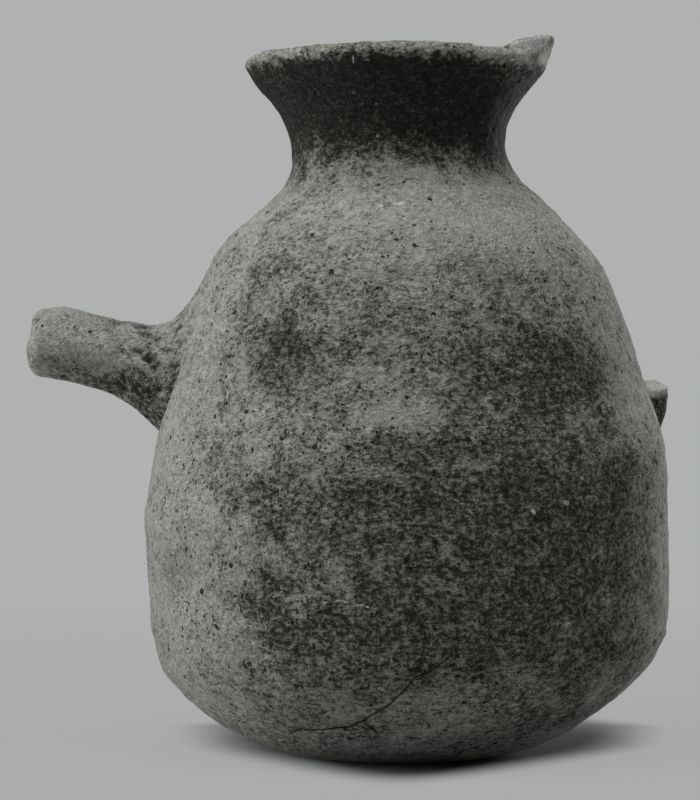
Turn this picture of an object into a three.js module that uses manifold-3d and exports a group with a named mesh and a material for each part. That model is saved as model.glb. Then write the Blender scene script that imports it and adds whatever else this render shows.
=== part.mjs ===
// Spouted earthenware jar, built up by hand from a base slab and coils of clay.
// Sizes are millimetres and +Z is up. The origin is the middle of the flat that the jar rests on.
// The spout points along -X. The lost handle stood on the other side, turned a little towards +Y.
import * as THREE from 'three';
import { mergeVertices } from 'three/addons/utils/BufferGeometryUtils.js';
import Module from 'manifold-3d';

// Outside of the wall. The belly is widest, and the stations near it stand in from it
const BELLY_RADIUS = 83.1;
const BOWL_INSET = 12.5;
const TURN_INSET = 3.9;
const FLANK_INSET = 1;
const WAIST_INSET = 3.1;
const SHOULDER_INSET = 13.9;
const SLOPE_INSET = 20.3;
const CREST_INSET = 29.7;

// The flat that the jar rests on, and how far the foot and the heel reach out past it
const REST_RADIUS = 31;
const FOOT_OUTSET = 14.8;
const HEEL_OUTSET = 26.4;

// The neck is narrowest, and the stations below and above it stand out from it
const NECK_RADIUS = 33.9;
const NECK_ROOT_OUTSET = 9.1;
const THROAT_OUTSET = 2.6;
const COLLAR_OUTSET = 4.2;
const LIP_OUTSET = 13.5;

// How far each station rises above the one before
const FOOT_RISE = 4;
const HEEL_RISE = 6.5;
const BOWL_RISE = 10.7;
const TURN_RISE = 10.8;
const FLANK_RISE = 13;
const BELLY_RISE = 27;
const WAIST_RISE = 29;
const SHOULDER_RISE = 37;
const SLOPE_RISE = 17;
const CREST_RISE = 12;
const NECK_ROOT_RISE = 9;
const THROAT_RISE = 8;
const NECK_RISE = 10;
const COLLAR_RISE = 13;
const LIP_RISE = 11.3;

// Thickness of the clay
const BASE_THICKNESS = 9;
const WALL_THICKNESS = 6.5;
const NECK_THICKNESS = 6;
const LIP_THICKNESS = 5.5;
const LIP_ROUNDING = 3.6;

// Sideways lean of the hand-built wall, away from the spout where it is above zero
const BODY_LEAN = 3.1;
const SHOULDER_LEAN = 2.6;
const NECK_ROOT_LEAN = 1.6;
const NECK_LEAN = -0.3;
const LIP_LEAN = -1.4;

// Coils: how many make the wall, and how far each seam slants down towards the inside
const WALL_COILS = 7;
const SEAM_BEVEL = 5;

// Spout: a tapering tube that leaves the shoulder, rises and levels out.
// Its middle line starts at the root depth behind the wall's inner face.
const SPOUT_ABOVE_WAIST = 17.6;
const SPOUT_ROOT_DEPTH = 2.6;
const SPOUT_LENGTH = 44.4;
const SPOUT_RISE = 12;
const SPOUT_LEVEL_LENGTH = 21;
const SPOUT_TIP_RADIUS = 11.9;
const SPOUT_ROOT_RADIUS = 13.2;
const SPOUT_END_ROUNDING = 4.2;
const SPOUT_BORE = 12;
const SPOUT_MOUTH = 14.2;
const SPOUT_MOUTH_DEPTH = 3;

// Clay pressed round the spout's root: a trumpet that reaches further up the shoulder than down
const FILLET_RADIUS = 21;
const FILLET_WIDTH_RATIO = 1.25;
const FILLET_LIFT = 4.5;
const FILLET_HEIGHT = 15;
const FILLET_EDGE = 0.9;
const FILLET_FLARE_POWER = 2.4;

// What is left of the handle: a horn on the lip, a stump on the belly and a low pad between them
const HANDLE_AZIMUTH = 14;
const HORN_RISE = 9.6;
const HORN_FRONT_SPREAD = 61;
const HORN_BACK_SPREAD = 16;
const HORN_LEAN = 25;
const HORN_CREST = 3.6;
const HORN_TOE_DROP = 0.5;
const HORN_BACK_FALL_RATIO = 0.45;
const STUMP_WIDTH = 24;
const STUMP_HEIGHT = 18.5;
const STUMP_TOP_ABOVE_WAIST = 17.6;
const STUMP_REACH = 8.4;
const STUMP_ROUNDING = 1.2;
const PAD_WIDTH = 21;
const PAD_HEIGHT = 10.5;
const PAD_TOP_ABOVE_NECK_ROOT = 4.6;
const PAD_RISE = 1.6;
const PAD_EDGE_RISE = 0.5;
const PAD_ROUNDING = 0.8;

// Clearance left where two pieces were pressed together
const SLIP_GAP = 0.3;

// Fineness of the curved faces
const TURNS = 56;
const STEPS_PER_COIL = 3;
const RIM_STEPS = 4;
const SPOUT_SIDES = 24;
const HORN_STEPS = 14;

const CLAY = { color: 0x6f6f68, roughness: 0.95, metalness: 0 };
const BROKEN_CLAY = { color: 0xa3a39c, roughness: 1, metalness: 0 };

// Heights of the stations, each one above the last
const footHeight = FOOT_RISE;
const heelHeight = footHeight + HEEL_RISE;
const bowlHeight = heelHeight + BOWL_RISE;
const turnHeight = bowlHeight + TURN_RISE;
const flankHeight = turnHeight + FLANK_RISE;
const bellyHeight = flankHeight + BELLY_RISE;
const waistHeight = bellyHeight + WAIST_RISE;
const shoulderHeight = waistHeight + SHOULDER_RISE;
const slopeHeight = shoulderHeight + SLOPE_RISE;
const crestHeight = slopeHeight + CREST_RISE;
const neckRootHeight = crestHeight + NECK_ROOT_RISE;
const throatHeight = neckRootHeight + THROAT_RISE;
const neckHeight = throatHeight + NECK_RISE;
const collarHeight = neckHeight + COLLAR_RISE;
const lipHeight = collarHeight + LIP_RISE;

const wasm = await Module();
wasm.setup();

// A closed geometry as a manifold solid, so that it can be cut and joined.
function solidOf(geometry) {
  const bare = new THREE.BufferGeometry();
  bare.setAttribute('position', geometry.getAttribute('position'));
  bare.setIndex(geometry.index);
  const merged = mergeVertices(bare, 1e-3);
  return new wasm.Manifold(
    new wasm.Mesh({
      numProp: 3,
      vertProperties: merged.attributes.position.array,
      triVerts: new Uint32Array(merged.index.array),
    }),
  );
}

// A manifold solid as a three.js geometry.
function geometryOf(solid) {
  const mesh = solid.getMesh();
  const geometry = new THREE.BufferGeometry();
  geometry.setAttribute('position', new THREE.BufferAttribute(mesh.vertProperties, mesh.numProp));
  geometry.setIndex(new THREE.BufferAttribute(mesh.triVerts, 1));
  geometry.computeVertexNormals();
  return geometry;
}

// Evenly spaced values from one to another, both included.
function spread(from, to, steps) {
  return Array.from({ length: steps + 1 }, (_, i) => THREE.MathUtils.lerp(from, to, i / steps));
}

// Heights of the wall with how far its middle lies along X there
const LEAN = [
  [0, 0],
  [heelHeight, 0],
  [flankHeight, BODY_LEAN],
  [waistHeight, BODY_LEAN],
  [slopeHeight, SHOULDER_LEAN],
  [neckRootHeight, NECK_ROOT_LEAN],
  [neckHeight, NECK_LEAN],
  [lipHeight, LIP_LEAN],
];

// How far the wall's middle lies along X at a height, eased from one entry to the next.
function leanAt(height) {
  const above = LEAN.findIndex(([z]) => z >= height);
  if (above === -1) return LIP_LEAN;
  if (above === 0) return 0;
  const [z0, x0] = LEAN[above - 1];
  const [z1, x1] = LEAN[above];
  return THREE.MathUtils.lerp(x0, x1, THREE.MathUtils.smoothstep(height, z0, z1));
}

// The outline as a curve whose three coordinates are radius, height and wall thickness.
const outline = new THREE.CatmullRomCurve3(
  [
    [REST_RADIUS, 0, BASE_THICKNESS],
    [REST_RADIUS + FOOT_OUTSET, footHeight, BASE_THICKNESS],
    [REST_RADIUS + HEEL_OUTSET, heelHeight, BASE_THICKNESS],
    [BELLY_RADIUS - BOWL_INSET, bowlHeight, (BASE_THICKNESS + WALL_THICKNESS) / 2],
    [BELLY_RADIUS - TURN_INSET, turnHeight, WALL_THICKNESS],
    [BELLY_RADIUS - FLANK_INSET, flankHeight, WALL_THICKNESS],
    [BELLY_RADIUS, bellyHeight, WALL_THICKNESS],
    [BELLY_RADIUS - WAIST_INSET, waistHeight, WALL_THICKNESS],
    [BELLY_RADIUS - SHOULDER_INSET, shoulderHeight, WALL_THICKNESS],
    [BELLY_RADIUS - SLOPE_INSET, slopeHeight, WALL_THICKNESS],
    [BELLY_RADIUS - CREST_INSET, crestHeight, WALL_THICKNESS],
    [NECK_RADIUS + NECK_ROOT_OUTSET, neckRootHeight, WALL_THICKNESS],
    [NECK_RADIUS + THROAT_OUTSET, throatHeight, (WALL_THICKNESS + NECK_THICKNESS) / 2],
    [NECK_RADIUS, neckHeight, NECK_THICKNESS],
    [NECK_RADIUS + COLLAR_OUTSET, collarHeight, (NECK_THICKNESS + LIP_THICKNESS) / 2],
    [NECK_RADIUS + LIP_OUTSET, lipHeight, LIP_THICKNESS],
  ].map((station) => new THREE.Vector3(...station)),
  false,
  'centripetal',
);

// The place on the outline, from 0 at the resting flat to 1 at the lip, that has a given height.
function placeAt(height) {
  let low = 0;
  let high = 1;
  for (let i = 0; i < 40; i += 1) {
    const middle = (low + high) / 2;
    if (outline.getPoint(middle).y < height) low = middle;
    else high = middle;
  }
  return (low + high) / 2;
}

// Radius and height of the wall's outer face at a place, moved out along its normal by grow.
function outerFace(place, grow = 0) {
  const point = outline.getPoint(place);
  const along = outline.getTangent(place);
  const outward = new THREE.Vector2(along.y, -along.x).normalize();
  return new THREE.Vector2(point.x, point.y).addScaledVector(outward, grow);
}

// Radius and height of the wall's inner face at a place, moved in along its normal by grow.
function innerFace(place, grow = 0) {
  const thickness = outline.getPoint(place).z;
  return outerFace(place, -thickness - grow);
}

// The radius of the wall's outer face at a height.
function radiusAt(height) {
  return outerFace(placeAt(height)).x;
}

// The place whose inner end a seam reaches that starts outside at the given place.
function seamFoot(place) {
  const step = 1e-3;
  const speed = outerFace(place + step / 2).distanceTo(outerFace(place - step / 2)) / step;
  return place - SEAM_BEVEL / speed;
}

// A closed profile of radius and height turned round the Z axis, then set over by the wall's lean.
function turned(profile) {
  const geometry = new THREE.LatheGeometry([...profile, profile[0]], TURNS);
  geometry.rotateX(Math.PI / 2);
  const position = geometry.getAttribute('position');
  for (let i = 0; i < position.count; i += 1) {
    position.setX(i, position.getX(i) + leanAt(position.getZ(i)));
  }
  return geometry;
}

// One coil of the wall between two places, with a slanting seam below and above.
function coilProfile(bottom, top) {
  const outside = spread(bottom, top, STEPS_PER_COIL).map((place) => outerFace(place));
  const inside = spread(seamFoot(top), seamFoot(bottom), STEPS_PER_COIL).map((place) => innerFace(place));
  return [...outside, ...inside];
}

// The base slab: flat to rest on, level inside, and turned up to its seam.
function slabProfile(top) {
  const outside = spread(0, top, STEPS_PER_COIL).map((place) => outerFace(place));
  const inside = [innerFace(seamFoot(top)), innerFace(placeAt(footHeight))];
  const floorEdge = new THREE.Vector2(REST_RADIUS, BASE_THICKNESS);
  return [new THREE.Vector2(0, 0), ...outside, ...inside, floorEdge, new THREE.Vector2(0, BASE_THICKNESS)];
}

// The rounded end of the flared wall, from its outer to its inner corner.
function lipCurve(grow = 0) {
  const outer = outerFace(1, grow);
  const inner = innerFace(1, grow);
  const along = outline.getTangent(1);
  const flare = new THREE.Vector2(along.x, along.y).normalize();
  const crown = outer.clone().add(inner).multiplyScalar(0.5);
  crown.addScaledVector(flare, LIP_ROUNDING + 2 * grow);
  return new THREE.QuadraticBezierCurve(outer, crown, inner);
}

// The flared coil that ends in the lip. Grown by a clearance, it is the tool that seats the horn.
function rimProfile(bottom, grow = 0) {
  const outside = spread(bottom, 1, RIM_STEPS).map((place) => outerFace(place, grow));
  const lip = lipCurve(grow).getPoints(5).slice(1, -1);
  const inside = spread(1, seamFoot(bottom), RIM_STEPS).map((place) => innerFace(place, grow));
  return [...outside, ...lip, ...inside];
}

// The jar's outer form as one solid core, grown by the clearance that seats a piece on the wall.
function coreSolid(grow) {
  const side = spread(0.02, 1, 3 * TURNS / 4).map((place) => outerFace(place, grow));
  const foot = new THREE.Vector2(0, side[0].y);
  const head = new THREE.Vector2(0, side[side.length - 1].y);
  return solidOf(turned([foot, ...side, head]));
}

// A closed solid skinned over rings that all have the same number of points.
// Seen along the way from the first ring to the last, the points run anticlockwise.
function skin(rings) {
  const sides = rings[0].length;
  const index = [];
  for (let ring = 0; ring + 1 < rings.length; ring += 1) {
    for (let i = 0; i < sides; i += 1) {
      const a = ring * sides + i;
      const b = ring * sides + ((i + 1) % sides);
      index.push(a, a + sides, b, b, a + sides, b + sides);
    }
  }
  const end = (rings.length - 1) * sides;
  for (let i = 1; i + 1 < sides; i += 1) {
    index.push(0, i, i + 1);
    index.push(end, end + i + 1, end + i);
  }
  const geometry = new THREE.BufferGeometry();
  const positions = rings.flat().flatMap((point) => [...point]);
  geometry.setAttribute('position', new THREE.Float32BufferAttribute(positions, 3));
  geometry.setIndex(index);
  return solidOf(geometry);
}

// Round sections carried along a curve in the XZ plane.
// Each is a place on the curve and a radius, with a push along the curve, a lift and a sideways spread.
function loft(curve, sections) {
  const across = new THREE.Vector3(0, 1, 0);
  const rings = sections.map(({ place, radius, push = 0, lift = 0, sideways = 1 }) => {
    const along = curve.getTangent(place);
    const up = across.clone().cross(along);
    const middle = curve.getPoint(place).addScaledVector(along, push).addScaledVector(up, lift);
    return spread(0, 2 * Math.PI, SPOUT_SIDES)
      .slice(0, -1)
      .map((angle) => {
        const point = middle.clone();
        point.addScaledVector(across, sideways * radius * Math.cos(angle));
        return point.addScaledVector(up, radius * Math.sin(angle));
      });
  });
  return skin(rings);
}

// The spout's middle line, from behind the wall's outer face out to the tip.
const spoutRootHeight = waistHeight + SPOUT_ABOVE_WAIST;
const wallReach = radiusAt(spoutRootHeight) - leanAt(spoutRootHeight);
const spoutReach = wallReach + SPOUT_LENGTH;
const spoutTipHeight = spoutRootHeight + SPOUT_RISE;
const spoutRootReach = wallReach - WALL_THICKNESS - SPOUT_ROOT_DEPTH;
const spoutLine = new THREE.QuadraticBezierCurve3(
  new THREE.Vector3(-spoutRootReach, 0, spoutRootHeight),
  new THREE.Vector3(SPOUT_LEVEL_LENGTH - spoutReach, 0, spoutTipHeight),
  new THREE.Vector3(-spoutReach, 0, spoutTipHeight),
);

// The spout's outer form with a rounded end, grown by a clearance where it is a tool.
function spoutForm(grow = 0) {
  const roundedFrom = 1 - SPOUT_END_ROUNDING / spoutLine.getLength();
  const shank = spread(0, roundedFrom, 7).map((place) => ({
    place,
    radius: THREE.MathUtils.lerp(SPOUT_ROOT_RADIUS, SPOUT_TIP_RADIUS, Math.sqrt(place)) + grow,
  }));
  const end = spread(0, Math.PI / 2, 4)
    .slice(1)
    .map((angle) => ({
      place: THREE.MathUtils.lerp(roundedFrom, 1, Math.sin(angle)),
      radius: SPOUT_TIP_RADIUS + grow - SPOUT_END_ROUNDING * (1 - Math.cos(angle)),
    }));
  return loft(spoutLine, [...shank, ...end]);
}

// The straight hole through the spout and the wall behind it, with a funnel at its mouth.
function boreTool() {
  const inside = new THREE.Vector3(-spoutRootReach, 0, spoutRootHeight + SPOUT_BORE / 3);
  const mouth = new THREE.Vector3(-spoutReach, 0, spoutTipHeight);
  const line = new THREE.LineCurve3(inside, mouth);
  const overrun = WALL_THICKNESS;
  return loft(line, [
    { place: 0, radius: SPOUT_BORE / 2, push: -overrun },
    { place: 1, radius: SPOUT_BORE / 2, push: -SPOUT_MOUTH_DEPTH },
    { place: 1, radius: SPOUT_MOUTH / 2 },
    { place: 1, radius: SPOUT_MOUTH / 2, push: overrun },
  ]);
}

// Clay pressed round the spout's root: a trumpet that closes in on the tube.
function filletForm() {
  const length = spoutLine.getLength();
  const wallPlace = (wallReach - spoutRootReach) / length;
  const edge = SPOUT_ROOT_RADIUS + SLIP_GAP + FILLET_EDGE;
  const climb = spread(0, 1, 8).map((share) => {
    const opening = (1 - share) ** FILLET_FLARE_POWER;
    return {
      place: wallPlace + (share * FILLET_HEIGHT) / length,
      radius: THREE.MathUtils.lerp(edge, FILLET_RADIUS, opening),
      lift: FILLET_LIFT * opening,
      sideways: THREE.MathUtils.lerp(1, FILLET_WIDTH_RATIO, opening),
    };
  });
  return loft(spoutLine, [{ ...climb[0], place: 0 }, ...climb]);
}

// The handle's upper root: a horn drawn up from the lip, highest where the handle left it.
// It thins out along the lip towards the front and ends steeply behind.
function hornForm() {
  const outerFoot = outerFace(1, -LIP_THICKNESS / 6);
  const innerFoot = innerFace(1, -LIP_THICKNESS / 6);
  const lean = Math.tan(THREE.MathUtils.degToRad(HORN_LEAN));
  const crown = lipCurve().getPoint(0.5).y;
  const rings = spread(-HORN_FRONT_SPREAD, HORN_BACK_SPREAD, HORN_STEPS).map((offset) => {
    const azimuth = THREE.MathUtils.degToRad(HANDLE_AZIMUTH + offset);
    const front = 1 + Math.min(offset, 0) / HORN_FRONT_SPREAD;
    const back = Math.max(offset, 0) / HORN_BACK_SPREAD;
    const rise = HORN_RISE * (front - HORN_BACK_FALL_RATIO * back ** 2) - HORN_TOE_DROP * (1 - front);
    const top = crown + rise;
    const reach = outerFoot.x + lean * Math.max(0, top - outerFoot.y);
    const inner = Math.min(innerFoot.x, reach - HORN_CREST);
    const section = [
      [outerFoot.x, outerFoot.y],
      [reach, top - HORN_CREST / 3],
      [reach - HORN_CREST / 3, top],
      [reach - HORN_CREST, top],
      [inner, innerFoot.y],
    ];
    return section.map(([radius, height]) => {
      const x = radius * Math.cos(azimuth) + leanAt(lipHeight);
      return new THREE.Vector3(x, radius * Math.sin(azimuth), height);
    });
  });
  return skin(rings);
}

// A flat outline of points extruded by a depth, with its edges rounded off.
function rounded(points, depth, rounding) {
  const shape = new THREE.Shape(points.map(([x, y]) => new THREE.Vector2(x, y)));
  const geometry = new THREE.ExtrudeGeometry(shape, {
    depth: depth - 2 * rounding,
    bevelThickness: rounding,
    bevelSize: rounding,
    bevelOffset: -rounding,
    bevelSegments: 2,
  });
  geometry.translate(0, 0, rounding - depth / 2);
  geometry.rotateX(Math.PI / 2);
  return geometry;
}

// A form made over +X, turned to the handle's side of the jar and set over by the lean there.
function onHandleSide(geometry, height) {
  geometry.rotateZ(THREE.MathUtils.degToRad(HANDLE_AZIMUTH));
  geometry.translate(leanAt(height), 0, 0);
  return solidOf(geometry);
}

// The handle's lower root: a wedge on the belly, broken off level at its top.
function stumpForm() {
  const top = waistHeight + STUMP_TOP_ABOVE_WAIST;
  const at = (share) => top - (1 - share) * STUMP_HEIGHT;
  const proud = (share, reach) => [radiusAt(at(share)) + reach * STUMP_REACH, at(share)];
  const sunk = (share) => [radiusAt(at(share)) - WALL_THICKNESS / 2, at(share)];
  const profile = [
    sunk(0),
    proud(0, 0.05),
    proud(0.3, 0.36),
    proud(0.65, 0.76),
    proud(0.9, 1),
    proud(1, 0.62),
    sunk(1),
  ];
  return onHandleSide(rounded(profile, STUMP_WIDTH, STUMP_ROUNDING), at(0.5));
}

// The low pad of clay on the shoulder, under where the handle passed.
function padForm() {
  const top = neckRootHeight + PAD_TOP_ABOVE_NECK_ROOT;
  const at = (share) => top - (1 - share) * PAD_HEIGHT;
  const faceOf = (share, rise) => outerFace(placeAt(at(share)), rise).toArray();
  const profile = [
    faceOf(0, -WALL_THICKNESS / 2),
    faceOf(0, PAD_EDGE_RISE),
    faceOf(0.3, PAD_RISE),
    faceOf(0.7, PAD_RISE),
    faceOf(1, PAD_EDGE_RISE),
    faceOf(1, -WALL_THICKNESS / 2),
  ];
  return onHandleSide(rounded(profile, PAD_WIDTH, PAD_ROUNDING), at(0.5));
}

const jar = new THREE.Group();

function addPiece(name, geometry, finish = CLAY) {
  const mesh = new THREE.Mesh(geometry, new THREE.MeshStandardMaterial(finish));
  mesh.name = name;
  jar.add(mesh);
}

// Base slab and the bowl that turns up from it
const slabTop = placeAt(heelHeight);
const bowlTop = placeAt(turnHeight);
addPiece('base_slab', turned(slabProfile(slabTop)));
addPiece('base_bowl', turned(coilProfile(slabTop, bowlTop)));

// Wall coils of equal height, pierced where the spout's bore meets them
const bore = boreTool();
const wallSeams = spread(turnHeight, neckRootHeight, WALL_COILS).map(placeAt);
for (let i = 0; i < WALL_COILS; i += 1) {
  const coil = turned(coilProfile(wallSeams[i], wallSeams[i + 1]));
  const solid = solidOf(coil);
  const pierced = solid.intersect(bore).volume() > 0;
  addPiece(`wall_coil_${i + 1}`, pierced ? geometryOf(solid.subtract(bore)) : coil);
}

// Neck: the coil that draws the shoulder in, the collar and the flared rim
const neckSeam = placeAt((throatHeight + neckHeight) / 2);
const collarTop = placeAt(collarHeight);
addPiece('neck_root_coil', turned(coilProfile(wallSeams[WALL_COILS], neckSeam)));
addPiece('neck_collar', turned(coilProfile(neckSeam, collarTop)));
addPiece('rim_coil', turned(rimProfile(collarTop)));

// Spout, seated on the shoulder, and the clay pressed round its root
const core = coreSolid(SLIP_GAP);
addPiece('spout_tube', geometryOf(spoutForm().subtract(core).subtract(bore)));
addPiece('spout_fillet', geometryOf(filletForm().subtract(core).subtract(spoutForm(SLIP_GAP))));

// What is left of the handle
const seatOnRim = solidOf(turned(rimProfile(collarTop, SLIP_GAP)));
addPiece('handle_upper_root', geometryOf(hornForm().subtract(seatOnRim)), BROKEN_CLAY);
addPiece('handle_lower_root', geometryOf(stumpForm().subtract(core)));
addPiece('shoulder_pad', geometryOf(padForm().subtract(core)));

export default jar;
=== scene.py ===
import math

import bpy
import numpy as np
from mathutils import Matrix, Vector


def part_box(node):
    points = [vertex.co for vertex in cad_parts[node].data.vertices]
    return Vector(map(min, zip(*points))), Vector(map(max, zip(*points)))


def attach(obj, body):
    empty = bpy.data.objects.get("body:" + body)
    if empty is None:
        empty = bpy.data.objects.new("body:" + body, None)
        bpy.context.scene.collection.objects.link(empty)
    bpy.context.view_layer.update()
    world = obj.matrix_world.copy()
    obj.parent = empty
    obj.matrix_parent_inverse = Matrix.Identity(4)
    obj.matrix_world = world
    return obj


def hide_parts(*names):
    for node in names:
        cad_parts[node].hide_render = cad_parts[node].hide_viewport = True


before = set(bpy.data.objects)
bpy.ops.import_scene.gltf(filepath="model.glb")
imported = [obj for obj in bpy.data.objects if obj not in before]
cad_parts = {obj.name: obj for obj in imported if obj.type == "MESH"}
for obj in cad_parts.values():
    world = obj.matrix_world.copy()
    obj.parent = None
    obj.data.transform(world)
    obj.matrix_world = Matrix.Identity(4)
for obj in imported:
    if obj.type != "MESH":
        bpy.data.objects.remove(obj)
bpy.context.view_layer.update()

# Shapes are worked out in millimetres, in the frame of the CAD: +Z up, spout along -X, and the
# lost handle towards +X and a little +Y. Azimuths are degrees from +X towards +Y.
MM = 0.001

# Camera: level, along +Y, with the long lens that the picture's perspective asks for
CAMERA_PLACE = (-15.68, -1030.0, 113.0)
FOCAL_PIXELS = 3218.75
PICTURE_HEIGHT = 800
SENSOR_SIZE = 36.0

# Outline of the wall: height, reach from the Z axis on the spout's side, reach on the other side
OUTLINE = (
    (0, 31, 31),
    (4, 45.8, 45.8),
    (10.5, 57.4, 57.6),
    (21.2, 70.2, 71.8),
    (27, 75, 77.9),
    (32.5, 77.1, 82),
    (37, 78, 84.6),
    (41, 78.9, 85.3),
    (47, 79.5, 85.6),
    (58, 80.2, 85.9),
    (68.5, 81, 85.8),
    (75.5, 81.3, 85.5),
    (82, 80.4, 85.2),
    (88, 79.3, 85.4),
    (94, 78.1, 84.9),
    (101, 76.8, 83.9),
    (110, 74.9, 81),
    (119.3, 72.6, 78),
    (129, 70.3, 75.4),
    (138, 67.6, 72.2),
    (146, 64.6, 69.3),
    (154.5, 60.9, 65.6),
    (161, 57, 61),
    (167, 51.8, 55.6),
    (172, 46.2, 50.4),
    (177, 40.6, 45.6),
    (181.5, 36.8, 40.2),
    (187, 34.8, 35.9),
    (193, 34.4, 33.9),
    (199, 35.7, 34.1),
    (204.5, 38, 36.1),
    (209, 41.3, 39),
    (213.5, 45.6, 42.5),
    (218.3, 48.6, 46.3),
)

# Thickness of the clay at the base, in the wall and at the lip, and the heights where it changes
BASE_THICKNESS = 9.0
WALL_THICKNESS = 6.5
LIP_THICKNESS = 5.5
THICKNESS_HEIGHTS = (10, 32, 176, 218)
SEAM_SLANT = 5.0
LIP_CROWN = 2.5

# Spacing of the mesh: columns round the wall, the spout and its fillet, and rows in mm
COLUMNS = 900
SPOUT_COLUMNS = 260
FILLET_COLUMNS = 420
ROW_STEP = 0.62
INNER_ROW_STEP = 3.0
SPOUT_ROW_STEP = 0.5
FILLET_ROW_STEP = 0.42
BORE_ROW_STEP = 1.2
SEAM_ROWS = 3
SHARP_ANGLE = 50

# Spout, along the reach from the Z axis: reach, top, bottom, half width
SPOUT_STATIONS = (
    (57, 161.5, 80, 41),
    (60, 156.4, 86, 36.5),
    (62.2, 152, 89.5, 33),
    (64.5, 147.6, 92.5, 29),
    (67.2, 144, 95.4, 24.3),
    (69.9, 140.8, 97.8, 20.2),
    (72.3, 138.6, 99.6, 17.8),
    (74.8, 137.6, 101.4, 16),
    (77.8, 137.3, 104.3, 14.9),
    (80.6, 137.4, 107, 14.1),
    (84.5, 137.8, 110.5, 13.1),
    (88.6, 138.3, 113.2, 12.5),
    (93.5, 139.3, 115.6, 12.1),
    (98.4, 140.8, 117, 12),
    (103.5, 142.3, 118.2, 12.1),
    (108.6, 142.9, 119.4, 12),
    (113.6, 142, 120.5, 11.6),
)
SPOUT_MIDDLE = 0.46
SPOUT_TIP = 118.4
SHANK_END = 113.4
SPOUT_JOIN = 88.5
SPOUT_ROOT = 68.0
FILLET_ROOT = 58.5
BORE_RADIUS = 6.0
MOUTH_RADIUS = 7.1
MOUTH_DEPTH = 3.0
BORE_HEIGHTS = (122.6, 130.6)

# Handle: azimuth of its roots, and the heights and sizes of what is left
HANDLE_AZIMUTH = 14.0
STUMP_HEIGHTS = (100.3, 118.6)
STUMP_HALF_WIDTH = 12.0
PAD_HEIGHTS = (170.1, 180.6)
PAD_HALF_WIDTH = 12.8


# Noise on a lattice

LATTICE = 32


def lattice_noise(points, cell, seed):
    """Gradient noise, about -0.7 to 0.7, at points in mm. Each lattice corner has a random slope,
    and the eight slopes' heights at a point are blended with the quintic 6t^5 - 15t^4 + 10t^3."""
    slopes = np.random.default_rng(seed).normal(size=(LATTICE, LATTICE, LATTICE, 3))
    slopes /= np.linalg.norm(slopes, axis=-1, keepdims=True)
    place = np.asarray(points, float) / cell
    corner = np.floor(place).astype(int)
    inside = place - corner
    weight = inside**3 * (inside * (inside * 6 - 15) + 10)
    total = np.zeros(place.shape[:-1])
    for step in np.ndindex(2, 2, 2):
        step = np.array(step)
        index = (corner + step) % LATTICE
        slope = slopes[index[..., 0], index[..., 1], index[..., 2]]
        share = np.where(step, weight, 1 - weight).prod(-1)
        total += share * (slope * (inside - step)).sum(-1)
    return total


def layered(points, layers):
    """Sum of layers of lattice noise, each with its own height, cell in mm and seed."""
    return sum(height * lattice_noise(points, cell, seed) for height, cell, seed in layers)


def stirring(points, cell, seeds):
    """A vector at each point from three noises, which moves the points about."""
    return np.stack([lattice_noise(points, cell, seed) for seed in seeds], -1)


def ridges(points, cell, seed):
    """Noise folded at zero, 0 in the valleys' floors and up to about 1 on the crests."""
    return 1 - np.minimum(1, 2.4 * np.abs(lattice_noise(points, cell, seed)))


def hollows(points, cell, radius, share, seed):
    """Round hollows, 0 to 1, one in each lattice cell with a chance of share. Each has its own random
    centre, and a radius from half of radius to all of it. The depth falls off as 1 - (d / r)^2."""
    rng = np.random.default_rng(seed)
    centres = rng.random((LATTICE, LATTICE, LATTICE, 3))
    sizes = rng.uniform(0.5, 1, (LATTICE, LATTICE, LATTICE))
    sizes *= rng.random((LATTICE, LATTICE, LATTICE)) < share
    place = np.asarray(points, float) / cell
    corner = np.floor(place).astype(int)
    deepest = np.zeros(place.shape[:-1])
    for step in np.ndindex(3, 3, 3):
        near = corner + np.array(step) - 1
        index = near % LATTICE
        key = (index[..., 0], index[..., 1], index[..., 2])
        distance = np.linalg.norm(place - near - centres[key], axis=-1)
        reach = np.maximum(sizes[key] * radius / cell, 1e-9)
        deepest = np.maximum(deepest, 1 - (distance / reach) ** 2)
    return deepest


def smooth_curve(knots, values, at):
    """A cubic Hermite curve through values at knots, with the slope at each knot taken from the
    knots beside it."""
    knots = np.asarray(knots, float)
    values = np.asarray(values, float)
    slopes = np.gradient(values, knots)
    at = np.asarray(at, float)
    first = np.clip(np.searchsorted(knots, at, side="right") - 1, 0, len(knots) - 2)
    width = knots[first + 1] - knots[first]
    t = (at - knots[first]) / width
    near = (1 + 2 * t) * (1 - t) ** 2 * values[first] + t * (1 - t) ** 2 * width * slopes[first]
    far = t * t * (3 - 2 * t) * values[first + 1] + t * t * (t - 1) * width * slopes[first + 1]
    return near + far


def smooth_step(low, high, value):
    """0 below low, 1 above high, and 3t^2 - 2t^3 between them."""
    t = np.clip((np.asarray(value, float) - low) / (high - low), 0, 1)
    return t * t * (3 - 2 * t)


def bell(distance, width):
    """1 at no distance, and exp(-(d / w)^2) away from it."""
    return np.exp(-((distance / width) ** 2))


# The wall

outline_heights, spout_reaches, handle_reaches = np.array(OUTLINE).T
outline_reaches = (spout_reaches + handle_reaches) / 2
outline_halves = (handle_reaches - spout_reaches) / 2
outline_steps = np.hypot(np.diff(outline_heights), np.diff(outline_reaches))
outline_places = np.concatenate(([0.0], np.cumsum(outline_steps)))
LIP_PLACE = outline_places[-1]


def wall_shape(places):
    """Height, mean reach and half of the sideways difference at places along the outline."""
    outlines = (outline_heights, outline_reaches, outline_halves)
    return [smooth_curve(outline_places, values, places) for values in outlines]


fine_places = np.linspace(0, LIP_PLACE, 4000)
fine_heights, fine_reaches, fine_halves = wall_shape(fine_places)


def place_at(height):
    """How far along the outline from the resting flat a height is, in mm."""
    return np.interp(height, fine_heights, fine_places)


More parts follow.
